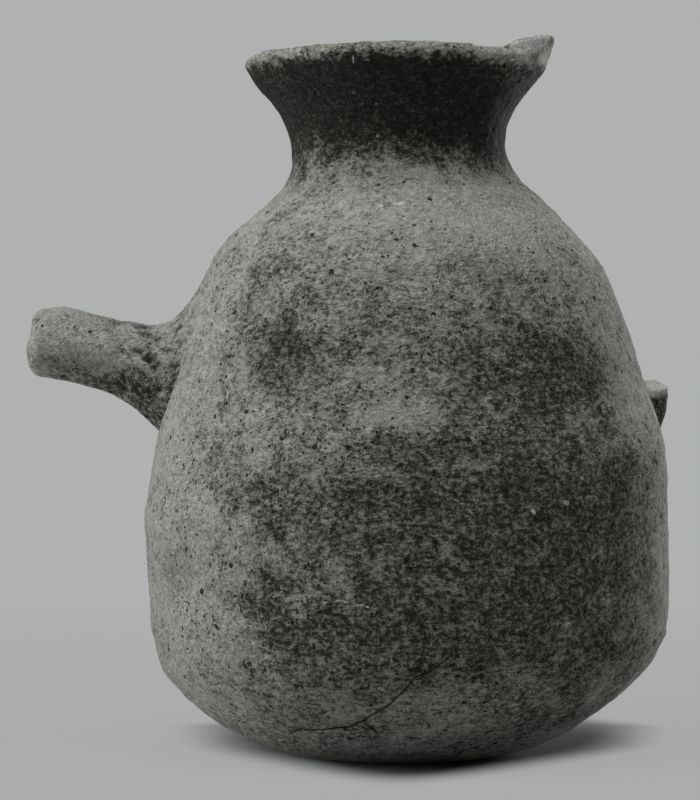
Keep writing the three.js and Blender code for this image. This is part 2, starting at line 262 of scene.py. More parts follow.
def wall_thickness(places):
    """Thickness of the clay at places along the outline: thick at the base, thin at the lip."""
    height = np.interp(places, fine_places, fine_heights)
    thicknesses = (BASE_THICKNESS, WALL_THICKNESS, WALL_THICKNESS, LIP_THICKNESS)
    return np.interp(height, THICKNESS_HEIGHTS, thicknesses)


def face_reach(heights, azimuths):
    """Reach of the wall's face from the Z axis at heights, and at azimuths in radians."""
    half = np.interp(heights, fine_heights, fine_halves)
    return np.interp(heights, fine_heights, fine_reaches) + half * np.cos(azimuths)


def turned(reach, azimuths, height):
    """Points or vectors with a part away from the Z axis, at azimuths in radians, and a part up."""
    return np.stack(
        np.broadcast_arrays(reach * np.cos(azimuths), reach * np.sin(azimuths), height), -1
    )


def wall_points(places, azimuths, inward=0.0):
    """Points and outward normals of the wall, for a column of places and a row of azimuths. The
    reach at an azimuth a is mean + half * cos(a), and inward moves a point in along its normal."""
    places = np.asarray(places, float)[:, None]
    azimuths = np.asarray(azimuths, float)[None, :]
    step = 0.25
    height, reach, half = wall_shape(places)
    height_after, reach_after, _ = wall_shape(np.minimum(places + step, LIP_PLACE))
    height_before, reach_before, _ = wall_shape(np.maximum(places - step, 0))
    rise = height_after - height_before
    spread = reach_after - reach_before
    length = np.hypot(rise, spread)
    normals = turned(rise / length, azimuths, -spread / length)
    points = turned(reach + half * np.cos(azimuths), azimuths, height)
    depth = np.asarray(inward, float)
    if depth.ndim == 1:
        depth = depth[:, None]
    return points - normals * depth[..., None], normals


def toward(azimuth, height, inward=0.0):
    """One point of the wall in mm, at an azimuth in degrees and a height."""
    points, _ = wall_points([place_at(height)], [math.radians(azimuth)], np.array([inward]))
    return points[0, 0]


def sideways(azimuth):
    """The level direction along the wall at an azimuth in degrees."""
    angle = math.radians(azimuth)
    return np.array((-math.sin(angle), math.cos(angle), 0))


# Dents: azimuth, height, half length across, half length up, depth in mm (below zero, proud)
DENTS = (
    # The pressed band low on the right, then chips, gouges and pits
    (-9, 36.5, 9, 4.6, 1.1),
    (-3, 41.6, 10, 1.3, 0.9),
    (-2, 38.8, 14, 2, -0.5),
    (-60.6, 77.7, 2.6, 2.1, 1.3),
    (-52.5, 80.6, 2.2, 2, 0.8),
    (-49.5, 85.1, 2.6, 1, 0.6),
    (-38.6, 94.7, 2, 1, 0.5),
    (-133.6, 6.9, 1.5, 1.2, 0.9),
    (-137.4, 10.4, 1.3, 0.8, 0.8),
    (-113, 42.6, 3.4, 0.7, 0.5),
    (-138.3, 145.5, 1.2, 1, 0.5),
    (-137.2, 153.2, 1.4, 1.4, 0.5),
    (-89.5, 112, 0.9, 1.2, 0.5),
    (-94, 173, 6, 1.6, 0.5),
    (-41.8, 219.4, 1.2, 1.2, 1.3),
    # Broad, shallow hollows
    (-66, 150, 16, 11, 0.5),
    (-120, 128, 14, 16, 0.7),
    (-150, 60, 13, 9, 0.6),
    (-35, 120, 15, 12, 0.6),
    (-83, 46, 22, 8, 0.6),
    (60, 140, 18, 14, 0.8),
    (120, 96, 20, 16, 0.8),
    (95, 44, 14, 8, 0.7),
    (150, 150, 12, 10, 0.6),
)

# The crack: azimuth and height of each bend, from its left end to its right end, and its branch
CRACK = (
    (-124.8, 11.4), (-120.7, 13.0), (-118.5, 12.8), (-114.8, 13.0), (-109.1, 14.0),
    (-104.5, 14.5), (-100.4, 16.7), (-96.0, 20.2), (-93.5, 22.2), (-90.6, 25.4),
    (-88.5, 29.3), (-87.0, 31.2), (-84.3, 33.0), (-82.2, 35.1), (-79.9, 37.8),
)
CRACK_BRANCH = ((-100.4, 16.7), (-99.3, 15.2), (-98.1, 14.2), (-97.0, 12.6))

# Pale scratches, each a chain of azimuths and heights
SCRATCHES = (
    ((-124.8, 134.2), (-123.8, 130.0), (-123.2, 126.5), (-122.5, 119.0)),
    ((-108.0, 218.4), (-108.4, 216.5)),
    ((-79.5, 83.5), (-77.6, 82.3)),
    ((-77.1, 81.1), (-75.3, 78.8)),
    ((-109.5, 52.3), (-103.1, 53.9), (-97.2, 52.0)),
)

# Wider pale smears and nubs; the first, along the shoulder, is a painted highlight
SMEARS_AND_HIGHLIGHT = (
    # A painted highlight along the shoulder
    ((-98.5, 172.6), (-95.0, 173.2), (-89.6, 173.6)),
    ((-134.6, 7.8), (-133.4, 8.1)),
    ((-62.6, 79.9), (-62.0, 79.0)),
    ((-54.8, 82.4), (-53.8, 82.0)),
)
SMEAR_AND_HIGHLIGHT_WIDTH = 0.5

# Darker and paler patches of the clay: azimuth, height, half width, half height, strength (below zero,
# paler)
TONE_PATCHES = (
    # Lip and neck
    (-104, 219, 9, 5, 0.35),
    (-94, 187, 9, 5, -0.6),
    (-76, 193, 9, 6, 0.45),
    (-75, 219, 14, 5, 0.1),
    (-42, 219, 14, 4, -0.8),
    # Shoulder
    (-136, 170, 10, 8, 0.3),
    (-136, 170, 9, 6, 0.2),
    (-122, 182, 16, 8, 0.3),
    (-56, 172, 16, 8, -0.3),
    (-55, 170, 16, 8, -0.3),
    # Upper body
    (-162, 105, 14, 34, -0.2),
    (-133, 155, 9, 9, 0.45),
    (-119, 125, 8, 7, 0.35),
    (-118, 128, 17, 16, 0.45),
    (-115, 148, 9, 6, 0.2),
    (-99, 132, 9, 9, 0.28),
    (-90, 109, 10, 9, -0.45),
    (-88, 135, 26, 20, 0.14),
    (-82, 125, 6, 5, -0.25),
    (-60, 137, 10, 9, 0.2),
    (-57, 122, 24, 14, 0.95),
    (-30, 117, 9, 14, -0.6),
    (-26, 112, 9, 8, -0.3),
    # Belly
    (-138, 95, 9, 7, 0.15),
    (-136, 92, 8, 8, 0.2),
    (-121, 82, 12, 9, 0.45),
    (-120, 58, 10, 8, 0.28),
    (-112, 60, 20, 24, 0.16),
    (-106, 68, 9, 7, -0.25),
    (-105, 62, 5, 3, -0.3),
    (-100, 88, 34, 26, 0.2),
    (-95, 58, 36, 30, 0.25),
    (-86, 78, 20, 12, 0.2),
    (-84, 98, 16, 6, 0.3),
    (-82, 69, 4, 3, -0.5),
    (-78, 54, 3.5, 6, -0.6),
    (-72, 72, 44, 36, 0.55),
    (-60, 82, 16, 7, 0.25),
    (-56, 66, 32, 30, 0.35),
    (-56, 100, 3.5, 4, -0.5),
    (-40, 80, 22, 30, 0.4),
    (-12, 80, 9, 40, -0.15),
    # Low body; the first, pale patch on the low left flank is painted light from the left
    (-150, 40, 18, 40, -0.45),
    (-128, 47, 7, 5, -0.3),
    (-119, 44, 13, 11, 0.45),
    (-110, 34, 16, 8, 0.08),
    (-95, 18, 42, 10, 0.32),
    (-92, 40, 26, 9, 0.35),
    (-84, 20, 26, 7, -0.2),
    (-60, 42, 26, 12, 0.3),
    (-46, 26, 18, 12, 0.35),
    (-44, 14, 16, 7, 0.45),
    (-44, 32, 9, 5, -0.4),
    (-36, 33, 20, 12, 0.4),
    (-34, 25, 8, 5, -0.6),
    # Right side and back
    (12, 174, 17, 10, 0.5),
    (20, 70, 30, 30, 0.4),
    (60, 160, 20, 12, 0.3),
    (95, 110, 34, 26, 0.5),
    (140, 60, 30, 22, 0.35),
)

# Where black specks crowd: azimuth, height, half width, half height
SPECKLED = (
    (-112, 54, 20, 17),
    (-140, 44, 16, 14),
    (-104, 100, 20, 7),
    (-150, 84, 12, 20),
)

# Layers of noise on the wall: height in mm or strength, cell in mm, seed
LUMPS = ((0.75, 41, 11),)
FACETS = ((0.5, 15, 12), (0.26, 7.3, 13))
GRIT = ((0.22, 3.1, 14), (0.15, 1.6, 15))
SMOKE_CLOUDS = ((0.15, 34, 21), (0.2, 13, 22))
PATCH_TATTERS = ((0.7, 8, 23), (0.6, 4, 29))
NECK_TATTERS = ((8, 16, 24), (7, 5, 30))
LIP_TATTERS = ((4, 4, 25), (3, 1.9, 35))
LIP_WAVES = ((0.6, 24, 51), (0.4, 5.2, 52))
INNER_LUMPS = ((0.7, 18, 32), (0.3, 6, 33))

# Hollows in the wall: cell in mm, largest radius, share of the cells, seed
PITS = (5.3, 1.5, 0.5, 16)
GOUGES = (11.0, 3.2, 0.3, 17)
SCARS = (9.0, 2.6, 0.5, 41)
PIT_DEPTH = 0.45
GOUGE_DEPTH = 0.4
CRACK_WIDTH = 0.7
CRACK_DEPTH = 0.4

# Heights between which the relief fades in over the flat that the jar rests on
RELIEF_EDGE = (1.5, 9.0)

# Where the neck's soot and painted shade under the flared rim end: heights below the dark neck and
# under the worn lip, and the pale shoulder, which is painted light
NECK_EDGE = (179, 202)
LIP_EDGE = (215.4, 220.6)
# The pale shoulder is painted light: the clay is made paler where the shoulder faces up
PALE_SHOULDER = 172
PALE_SHOULDER_HALF = 9


def dent_depth(points):
    """Depth in mm of the placed dents at points on the wall. Each falls off as exp(-1.4 q^2), where
    q is the distance in half lengths across the wall and up it."""
    depth = np.zeros(points.shape[:-1])
    for azimuth, height, across, up, deep in DENTS:
        away = points - toward(azimuth, height)
        along = away @ sideways(azimuth)
        rest = np.linalg.norm(away - along[..., None] * sideways(azimuth), axis=-1)
        depth += deep * np.exp(-((along / across) ** 2 + (rest / up) ** 2) * 1.4)
    return depth


def line_distance(points, lines):
    """Distance in mm from points to the nearest of some chains of straight pieces on the wall, made
    crooked by noise, and the same with a sign for the side, which stays smooth across a line."""
    far_away = 99.0
    margin = 4
    points = points + 0.5 * stirring(points, 2.6, (18, 19, 20))
    nearest = np.full(points.shape[:-1], far_away)
    side = nearest.copy()
    for line in lines:
        bends = np.array([toward(azimuth, height) for azimuth, height in line])
        too_high = points[..., 2].min() > bends[:, 2].max() + margin
        too_low = points[..., 2].max() < bends[:, 2].min() - margin
        if too_high or too_low:
            continue
        for start, end in zip(bends, bends[1:]):
            run = end - start
            share = np.clip(((points - start) @ run) / (run @ run), 0, 1)
            gap = points - start - share[..., None] * run
            across = np.cross(run, (start + end) * (1, 1, 0))
            signed = gap @ (across / np.linalg.norm(across))
            distance = np.linalg.norm(gap, axis=-1)
            side = np.where(distance < nearest, signed, side)
            nearest = np.minimum(nearest, distance)
    return nearest, side


def wall_relief(points):
    """Height in mm of the hand-worked surface over the smooth wall, and how hollow each point is.
    Broad lumps, finger-wide facets and coarse grit are added, then pits, dents and the crack are
    taken off. The facets are squeezed upwards, and the gouges more so."""
    facets = layered(points * (1, 1, 1.5), FACETS)
    grit = layered(points, GRIT)
    pits = hollows(points, *PITS)
    gouges = hollows(points * (1, 1, 2.4), *GOUGES)
    dents = dent_depth(points)
    crack, _ = line_distance(points, (CRACK, CRACK_BRANCH))
    groove = CRACK_DEPTH * bell(crack, CRACK_WIDTH)
    height = layered(points, LUMPS) + facets + grit
    height = height - PIT_DEPTH * pits - GOUGE_DEPTH * gouges - dents - groove
    # How hollow each point is, which the clay's colour darkens as painted shade
    hollow = 0.9 * pits + 0.5 * gouges + 0.8 * groove + 0.7 * np.clip(dents, 0, 1) - grit
    return height, np.clip(hollow, 0, 1)


def patch(points, azimuth, height, across, up):
    """1 at a place on the wall, and exp(-q^2) away from it, with q in half widths and heights."""
    away = points - toward(azimuth, height)
    flat = np.hypot(away[..., 0], away[..., 1]) / across
    tall = away[..., 2] / up
    return np.exp(-(flat**2 + tall**2))


def wall_stain(points):
    """How stained and shaded the clay is, from -0.3 where it is palest to over 1 at the neck: cloudy
    noise and the named patches, less the pale shoulder, which is painted light on its upward face, and
    the dark neck, which is soot and painted shade under the flared rim."""
    stirred = points + 9 * stirring(points, 14, (26, 27, 28))
    tatters = 1 + layered(points, PATCH_TATTERS)
    cloud = 0.24 + layered(points, SMOKE_CLOUDS)
    for *place, strength in TONE_PATCHES:
        cloud = cloud + strength * patch(stirred, *place) * tatters
    height = points[..., 2] + layered(points, NECK_TATTERS)
    # The dark neck is soot and painted shade under the flared rim
    neck_soot_and_shade = smooth_step(*NECK_EDGE, height)
    lip = smooth_step(*LIP_EDGE, points[..., 2] + layered(points, LIP_TATTERS))
    # Painted light: a paler band where the shoulder faces up
    painted_shoulder_light = bell(height - PALE_SHOULDER, PALE_SHOULDER_HALF)
    cloud = np.clip(cloud - 0.3 * painted_shoulder_light, -0.3, 1.02)
    return cloud + 1.45 * neck_soot_and_shade * (1 - lip)


# Meshes

def new_mesh(name, points, faces):
    """A mesh in metres from points in mm and a list of face arrays, all triangles or all quads."""
    mesh = bpy.data.meshes.new(name)
    flat = np.ascontiguousarray(points.reshape(-1, 3) * MM, np.float32)
    corners = np.concatenate([part.ravel() for part in faces]).astype(np.int32)
    sides = np.concatenate([np.full(len(part), part.shape[1]) for part in faces]).astype(np.int32)
    starts = np.concatenate(([0], np.cumsum(sides)[:-1])).astype(np.int32)
    mesh.vertices.add(len(flat))
    mesh.vertices.foreach_set("co", flat.ravel())
    mesh.loops.add(len(corners))
    mesh.loops.foreach_set("vertex_index", corners)
    mesh.polygons.add(len(sides))
    mesh.polygons.foreach_set("loop_start", starts)
    mesh.polygons.foreach_set("loop_total", sides)
    mesh.update(calc_edges=True)
    mesh.validate()
    mesh.polygons.foreach_set("use_smooth", np.ones(len(sides), bool))
    mesh.set_sharp_from_angle(angle=math.radians(SHARP_ANGLE))
    return mesh


def grid_faces(rows, columns, wrap_rows):
    """Quads of a grid whose columns close on themselves, and whose rows do too if asked."""
    index = np.arange(rows * columns).reshape(rows, columns)
    below = index if wrap_rows else index[:-1]
    above = np.roll(index, -1, 0) if wrap_rows else index[1:]
    around = [below, np.roll(below, -1, 1), np.roll(above, -1, 1), above]
    return np.stack(around, -1).reshape(-1, 4)


def pole_faces(ring, pole, upwards):
    """Triangles from a ring of vertices to one pole."""
    after = np.roll(ring, -1)
    pair = (ring, after) if upwards else (after, ring)
    return np.stack([*pair, np.full(len(ring), pole)], -1)


def capped_faces(rows, columns):
    """Faces of a grid with both ends closed by a pole, the first two vertices after the grid's."""
    index = np.arange(rows * columns).reshape(rows, columns)
    return [
        grid_faces(rows, columns, False),
        pole_faces(index[0], rows * columns, False),
        pole_faces(index[-1], rows * columns + 1, True),
    ]


def capped(points, *fields):
    """Closes both ends of a stack of sections with a pole each. Returns points, faces and fields."""
    poles = np.stack([points[0].mean(0), points[-1].mean(0)])
    closed = np.concatenate([points.reshape(-1, 3), poles])
    fields = [np.concatenate([f.ravel(), (f[0].mean(), f[-1].mean())]) for f in fields]
    return closed, capped_faces(*points.shape[:2]), fields


def placed(name, data):
    """An object with that mesh, lamp or camera, in the scene."""
    thing = bpy.data.objects.new(name, data)
    bpy.context.scene.collection.objects.link(thing)
    return thing


def make_piece(node, points, faces, material, slot="fired_clay", **fields):
    """Adds the piece that replaces a node, with its own values per vertex, which the materials read
    as attributes."""
    mesh = new_mesh("clay_" + node, points, faces)
    for field, values in fields.items():
        attribute = mesh.attributes.new(field, "FLOAT", "POINT")
        attribute.data.foreach_set("value", np.asarray(values, np.float32).ravel())
    mesh.materials.append(material)
    piece = placed("clay_" + node, mesh)
    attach(piece, "root")
    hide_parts(node)


def joined(parts):
    """Stacks groups of rows, each of them points, how hollow and how stained and shaded."""
    return [np.concatenate(kind) for kind in zip(*parts)]


def seam_rows(before, after, steps=SEAM_ROWS):
    """Rows that cross the clay from the last row of one group to the first row of another."""
    shares = np.linspace(0, 1, steps + 1)[1:-1]
    ends = [(a[-1], b[0]) for a, b in zip(before, after)]
    return [np.stack([start + (end - start) * share for share in shares]) for start, end in ends]


def rows_between(low, high, step):
    """Places from low to high, about a step apart, both ends included."""
    return np.linspace(low, high, max(2, int(round(abs(high - low) / step)) + 1))


# The coils of the wall

AZIMUTHS = np.linspace(0, 2 * math.pi, COLUMNS, endpoint=False)


def seam_foot(place):
    """Where a seam that starts outside at a place reaches the inside of the wall."""
    return place - SEAM_SLANT


def wall_fields(points):
    """What draws the crack, the scratches, the smears with the painted highlight, and the crowds of
    specks, by the attributes' names.
    """
    away, side = line_distance(points, (CRACK, CRACK_BRANCH))
    scratch_and_highlight, _ = line_distance(points, SCRATCHES)
    smear_and_highlight, _ = line_distance(points, SMEARS_AND_HIGHLIGHT)
    scratch_and_highlight = np.minimum(scratch_and_highlight, smear_and_highlight - SMEAR_AND_HIGHLIGHT_WIDTH)
    speckle = sum(patch(points, *place) for place in SPECKLED)
    return {"crack_away": away, "crack_side": side, "scratch_and_highlight": scratch_and_highlight, "speckle": speckle}


def outer_rows(places):
    """The worked outer face of the wall: points, how hollow and how stained and shaded."""
    points, normals = wall_points(places, AZIMUTHS)
    relief, hollow = wall_relief(points)
    level = smooth_step(*RELIEF_EDGE, points[..., 2])
    moved = points + normals * (relief * level)[..., None]
    return moved, hollow, wall_stain(points)


def inner_rows(places):
    """The inner face of the wall, with the furrows that fingers left along the coils."""
    points, normals = wall_points(places, AZIMUTHS, wall_thickness(places))
    furrows = 0.35 * np.sin(points[..., 2] * 1.1 + 2 * lattice_noise(points, 20, 31))
    relief = furrows + layered(points, INNER_LUMPS)
    moved = points - normals * relief[..., None]
    # Painted shade: the inside of the jar is made darker than the outer face
    stain = np.clip(0.55 + 0.5 * lattice_noise(points, 25, 34), 0, 1)
    return moved, np.clip(0.3 - relief, 0, 1), stain


def make_ring(node, groups, material):
    """A piece of the wall that is closed all round its section, from its groups of rows."""
    points, hollow, stain = joined(groups)
    faces = [grid_faces(len(points), COLUMNS, True)]
    make_piece(node, points, faces, material, hollow=hollow, stain=stain, **wall_fields(points))


def make_coil(node, bottom, top, material):
    """One coil of the wall: outer face upwards, top seam inwards, inner face downwards and bottom
    seam outwards."""
    bottom, top = place_at(bottom), place_at(top)
    outer = outer_rows(rows_between(bottom, top, ROW_STEP))
    inner = inner_rows(rows_between(seam_foot(top), seam_foot(bottom), INNER_ROW_STEP))
    make_ring(node, [outer, seam_rows(outer, inner), inner, seam_rows(inner, outer)], material)


def slab_underside():
    """Rows of the slab's underside, from near its middle to its edge, with scars of lost grit that
    fade out at the edge."""
    radii = np.linspace(0.8, OUTLINE[0][1], 21)[:-1]
    points = turned(radii[:, None], AZIMUTHS, 0.0)
    scars = hollows(points + (3, 5, 7), *SCARS)
    points[..., 2] = 0.5 * scars * smooth_step(31, 26, radii)[:, None]
    return points, np.clip(scars, 0, 1), wall_stain(points)


def slab_floor(edge):
    """Rows of the slab's floor inside the jar, from its edge to near its middle, with soft lumps."""
    radii = np.linspace(1.0, 0.03, 16)
    points = edge[None] * np.stack([radii, radii, np.ones(len(radii))], -1)[:, None]
    settle = smooth_step(1.0, 0.7, radii)[:, None]
    edge_height = edge[None, :, 2]
    points[..., 2] = edge_height + (BASE_THICKNESS - edge_height) * settle
    points[..., 2] += 0.5 * lattice_noise(points, 12, 42) * settle
    points = points[1:]
    # Painted shade: the floor inside the jar is made darker
    return points, np.full(points.shape[:2], 0.3), np.full(points.shape[:2], 0.7)


def make_slab(node, top, material):
    """The base slab: from the middle of its underside out, up to its seam, in, and down to the
    middle of the floor inside."""
    top = place_at(top)
    outer = outer_rows(rows_between(0, top, ROW_STEP))
    inner = inner_rows(rows_between(seam_foot(top), place_at(4.0), INNER_ROW_STEP))
    floor = slab_floor(inner[0][-1])
    groups = [slab_underside(), outer, seam_rows(outer, inner), inner, floor]
    points, hollow, stain = joined(groups)
    faces = capped_faces(len(points), COLUMNS)
    middles = [(0, 0, 0), (0, 0, floor[0][-1, :, 2].mean())]
    points = np.concatenate([points.reshape(-1, 3), middles])
    # The middle of the floor inside is darker too, as painted shade
    hollow = np.concatenate([hollow.ravel(), (0, 0.3)])
    stain = np.concatenate([stain.ravel(), (0.3, 0.7)])
    make_piece(node, points, faces, material, hollow=hollow, stain=stain, **wall_fields(points))


def lip_relief(points):
    """The lip's ragged crest in mm upwards: waves, crumbs and a step where clay has flaked off."""
    azimuth = np.degrees(np.arctan2(points[..., 1], points[..., 0]))
    front = smooth_step(-112, -92, azimuth) * (1 - smooth_step(-61.5, -60.5, azimuth))
    return layered(points, LIP_WAVES) + 0.6 * front


def lip_rows():
    """The rounded lip: half an ellipse from the outer face over the crown to the inner face, with
    the relief of the outer face that gives way to that of the inner one."""
    last = [LIP_PLACE]
    outer, normals = wall_points(last, AZIMUTHS)
    inner, _ = wall_points(last, AZIMUTHS, wall_thickness(last))
    worn, _, _ = inner_rows(last)
    around = np.stack([-np.sin(AZIMUTHS), np.cos(AZIMUTHS), 0 * AZIMUTHS], -1)
    upward = np.cross(normals, around)
    swing = np.linspace(0, math.pi, 20)[1:-1, None, None]
    middle = (outer + inner) / 2
    curve = middle + (outer - middle) * np.cos(swing) + upward * LIP_CROWN * np.sin(swing)
    away = normals * np.cos(swing) + upward * np.sin(swing)
    relief, hollow = wall_relief(curve)
    inside = smooth_step(0.5 * math.pi, math.pi, swing)
    curve = curve + away * relief[..., None] * (1 - inside) + (worn - inner) * inside
    curve[..., 2] += lip_relief(curve) * np.sin(swing)[..., 0]
    return curve, hollow, wall_stain(curve)


def make_rim(node, bottom, material):
    """The flared coil that ends in the lip."""
    bottom = place_at(bottom)
    outer = outer_rows(rows_between(bottom, LIP_PLACE, ROW_STEP))
    inner = inner_rows(rows_between(LIP_PLACE, seam_foot(bottom), INNER_ROW_STEP / 2))
    make_ring(node, [outer, lip_rows(), inner, seam_rows(inner, outer)], material)


# The spout

# Layers of noise on the spout: height in mm or strength, cell in mm, seed
SPOUT_LUMPS = ((0.5, 11, 61), (0.25, 4.2, 62))
SPOUT_GRIT = ((0.2, 2.3, 63), (0.12, 1.3, 64))
SPOUT_CLOUDS = ((0.25, 12, 71), (0.35, 5, 72))

# Ridges: cell in mm, seed. Hollows: cell in mm, largest radius, share of the cells, seed
SPOUT_FOLDS = (5.5, 65)
SPOUT_CREASES = (2.6, 66)
SPOUT_FISSURES = (4.6, 1.9, 0.6, 67)
SPOUT_PITS = (4.0, 1.2, 0.5, 68)

# Where the clay begins to be torn, stained at the root and given painted shade below, and where it is
# fully so: reaches from the Z axis, and heights for the painted shade on the underside
TORN_REACHES = (98, 84)
ROOT_REACHES = (95, 82)
UNDERSIDE_REACHES = (116, 106)
UNDERSIDE_HEIGHTS = (128, 119)

# A chip at the tip: place, radius, depth
CHIP_PLACE = (-115.6, -6.5, 138.6)
CHIP_RADIUS = 1.9
CHIP_DEPTH = 1.3

# How deep in the wall the root of the tube and the fillet may reach
TUBE_DEPTH = 4.5
FILLET_DEPTH = 3.0

SPOUT_TURNS = np.linspace(0, 2 * math.pi, SPOUT_COLUMNS, endpoint=False)[None, :]
FILLET_TURNS = np.linspace(0, 2 * math.pi, FILLET_COLUMNS, endpoint=False)[None, :]


def spout_section(reach, turn, inset=0.0):
    """Points of the spout's outer form at reaches from the Z axis and turns round its middle line,
    0 towards +Y and a quarter turn at the top. The upper and the lower half of a section are half
    ellipses with their own heights, and inset draws it in."""
    knots, *outlines = np.transpose(SPOUT_STATIONS)
    top, bottom, width = [smooth_curve(knots, values, reach) for values in outlines]
    top, bottom = top - inset, bottom + inset
    middle = SPOUT_MIDDLE * top + (1 - SPOUT_MIDDLE) * bottom
    rise = np.sin(turn)
    height = middle + np.where(rise > 0, top - middle, middle - bottom) * rise
    side = (width - inset) * np.cos(turn)
    return np.stack(np.broadcast_arrays(-reach, side, height), -1)


def spout_relief(points):
    """Height in mm of the spout's worked surface, and how hollow it is: gentle near the tip, torn
    and fissured along its length at the root."""
    rough = smooth_step(*TORN_REACHES, -points[..., 0])
    gentle = layered(points, SPOUT_LUMPS)
    grit = layered(points, SPOUT_GRIT)
    folds = ridges(points * (0.45, 1, 1), *SPOUT_FOLDS) - 0.62
    torn = 0.9 * folds + 0.8 * (ridges(points, *SPOUT_CREASES) - 0.6)
    fissures = hollows(points * (0.42, 1, 0.9), *SPOUT_FISSURES)
    pits = hollows(points, *SPOUT_PITS)
    ragged = 0.35 * lattice_noise(points, 8, 76)
    height = gentle + grit - 0.35 * pits + rough * (0.52 * torn - 0.75 * fissures + ragged)
    hollow = 0.7 * pits - 0.8 * grit + rough * (1.2 * fissures - 0.9 * torn + 0.1)
    return height, np.clip(hollow, 0, 1)


def spout_stain(points, hollow):
    """Stain and painted shade of the spout, -0.3 to 1: painted shade below and in the hollows, and
    darker in the torn clay at its root.
    """
    cloud = layered(points, SPOUT_CLOUDS) - 0.1
    # Painted shade on the underside of the spout
    underside_shade = smooth_step(*UNDERSIDE_HEIGHTS, points[..., 2] + 3 * lattice_noise(points, 5, 77))
    underside_shade = underside_shade * smooth_step(*UNDERSIDE_REACHES, -points[..., 0])
    root = smooth_step(*ROOT_REACHES, -points[..., 0])
    return np.clip(cloud + 0.6 * underside_shade + 0.12 * root + 0.35 * hollow, -0.3, 1)


def held_in_wall(points, deepest):
    """Moves points that lie further inside the wall's face than deepest out to that depth, so that
    nothing of the spout's root shows inside the jar."""
    azimuth = np.arctan2(points[..., 1], points[..., 0])
    radius = np.hypot(points[..., 0], points[..., 1])
    scale = np.maximum(1, (face_reach(points[..., 2], azimuth) - deepest) / radius)
    return points * np.stack([scale, scale, np.ones_like(scale)], -1)


def outward_normals(points):
    """Unit normals of a grid whose columns close on themselves, from its own two directions, turned
    so that they point away from the middles of the rows."""
    along = np.gradient(points, axis=0)
    around = np.roll(points, -1, 1) - np.roll(points, 1, 1)
    normals = np.cross(around, along)
    normals *= np.sign((normals * (points - points.mean(1, keepdims=True))).sum())
    return normals / np.linalg.norm(normals, axis=-1, keepdims=True)


def spout_ridge(turn, reach):
    """A finger-pressed ridge along the front of the tube, just above its middle, and the flat below
    it, in mm."""
    front = bell(turn - math.pi * 0.97, 0.22)
    flat_below = bell(turn - math.pi * 1.22, 0.35)
    along = smooth_step(80, 88, reach) * (1 - smooth_step(104, 112, reach))
    return (0.75 * front - 0.8 * flat_below) * along


def bore_rows(reaches):
    """The bore, with a funnel at the mouth, as rows of points."""
    share = (reaches - SPOUT_ROOT) / (SPOUT_TIP - SPOUT_ROOT)
    middle = BORE_HEIGHTS[0] + (BORE_HEIGHTS[1] - BORE_HEIGHTS[0]) * share
    funnel = smooth_step(SPOUT_TIP - MOUTH_DEPTH - 1, SPOUT_TIP, reaches)
    radius = BORE_RADIUS + (MOUTH_RADIUS - BORE_RADIUS) * funnel
    side = radius[:, None] * np.cos(SPOUT_TURNS)
    height = middle[:, None] + radius[:, None] * np.sin(SPOUT_TURNS)
    points = np.stack(np.broadcast_arrays(-reaches[:, None], side, height), -1)
    rough = 0.35 * lattice_noise(points, 5, 73)
    away = np.stack([np.zeros_like(side), side, height - middle[:, None]], -1)
    return points + away * (rough / radius[:, None])[..., None]


def spout_face():
    """The tube's smooth outer face: the shank from its root, sunk a little under the fillet, and the
    rounded end, whose sections shrink as they swing past the tip into the mouth."""
    reaches = rows_between(SPOUT_ROOT, SHANK_END, SPOUT_ROW_STEP)
    hidden = 0.3 * smooth_step(SPOUT_JOIN + 1, SPOUT_JOIN - 2.5, reaches)[:, None]
    shank = spout_section(reaches[:, None], SPOUT_TURNS, hidden)
    shares = np.linspace(0, 1, 15)[1:]
    swing = shares * math.pi * 0.62
    end_reach = SHANK_END + (SPOUT_TIP - SHANK_END) * np.sin(np.minimum(swing, math.pi / 2)) ** 0.85
    end_reach -= 1.2 * smooth_step(math.pi / 2, math.pi * 0.62, swing)
    last = spout_section(np.full((1, 1), SHANK_END), SPOUT_TURNS)
    middle = last.mean(1, keepdims=True)
    shrink = 1 - 0.40 * (1 - np.cos(swing)) ** 0.75
    end = middle + (last - middle) * shrink[:, None, None]
    end[..., 0] = -end_reach[:, None]
    setback = 1.7 * smooth_step(129.0, 135.5, end[..., 2])
    end[..., 0] += shares[:, None] * (setback + 0.5 * lattice_noise(end, 7, 74))
    return np.concatenate([shank, end])


def make_tube(node, groups, material):
    """A piece of the spout that is closed all round its section, from its groups of rows."""
    points, hollow, stain = joined(groups)
    faces = [grid_faces(*points.shape[:2], True)[:, ::-1]]
    make_piece(node, points, faces, material, hollow=hollow, stain=stain)


def make_spout(node, material):
    """The tube: outer face from the wall to the tip, over the rounded end, and back along the bore."""
    outer = spout_face()
    normals = outward_normals(outer)
    relief, hollow = spout_relief(outer)
    ridge = spout_ridge(SPOUT_TURNS, -outer[..., 0])
    chip = bell(np.linalg.norm(outer - CHIP_PLACE, axis=-1), CHIP_RADIUS)
    calm = np.ones(len(outer))
    calm[-6:] = np.linspace(1, 0.2, 6)
    moved = outer + normals * (calm[:, None] * relief + ridge - CHIP_DEPTH * chip)[..., None]
    moved = held_in_wall(moved, TUBE_DEPTH)
    # The chip is darkened as painted shade
    hollow = np.clip(hollow + chip, 0, 1)
    face = (moved, hollow, spout_stain(moved, hollow))
    bore = bore_rows(rows_between(SPOUT_TIP - 2.6, SPOUT_ROOT, BORE_ROW_STEP))
    # Painted shade: the bore is made dark
    bore = (bore, np.full(bore.shape[:2], 0.6), np.full(bore.shape[:2], 0.8))
    make_tube(node, [face, bore, seam_rows(bore, face, 4)], material)


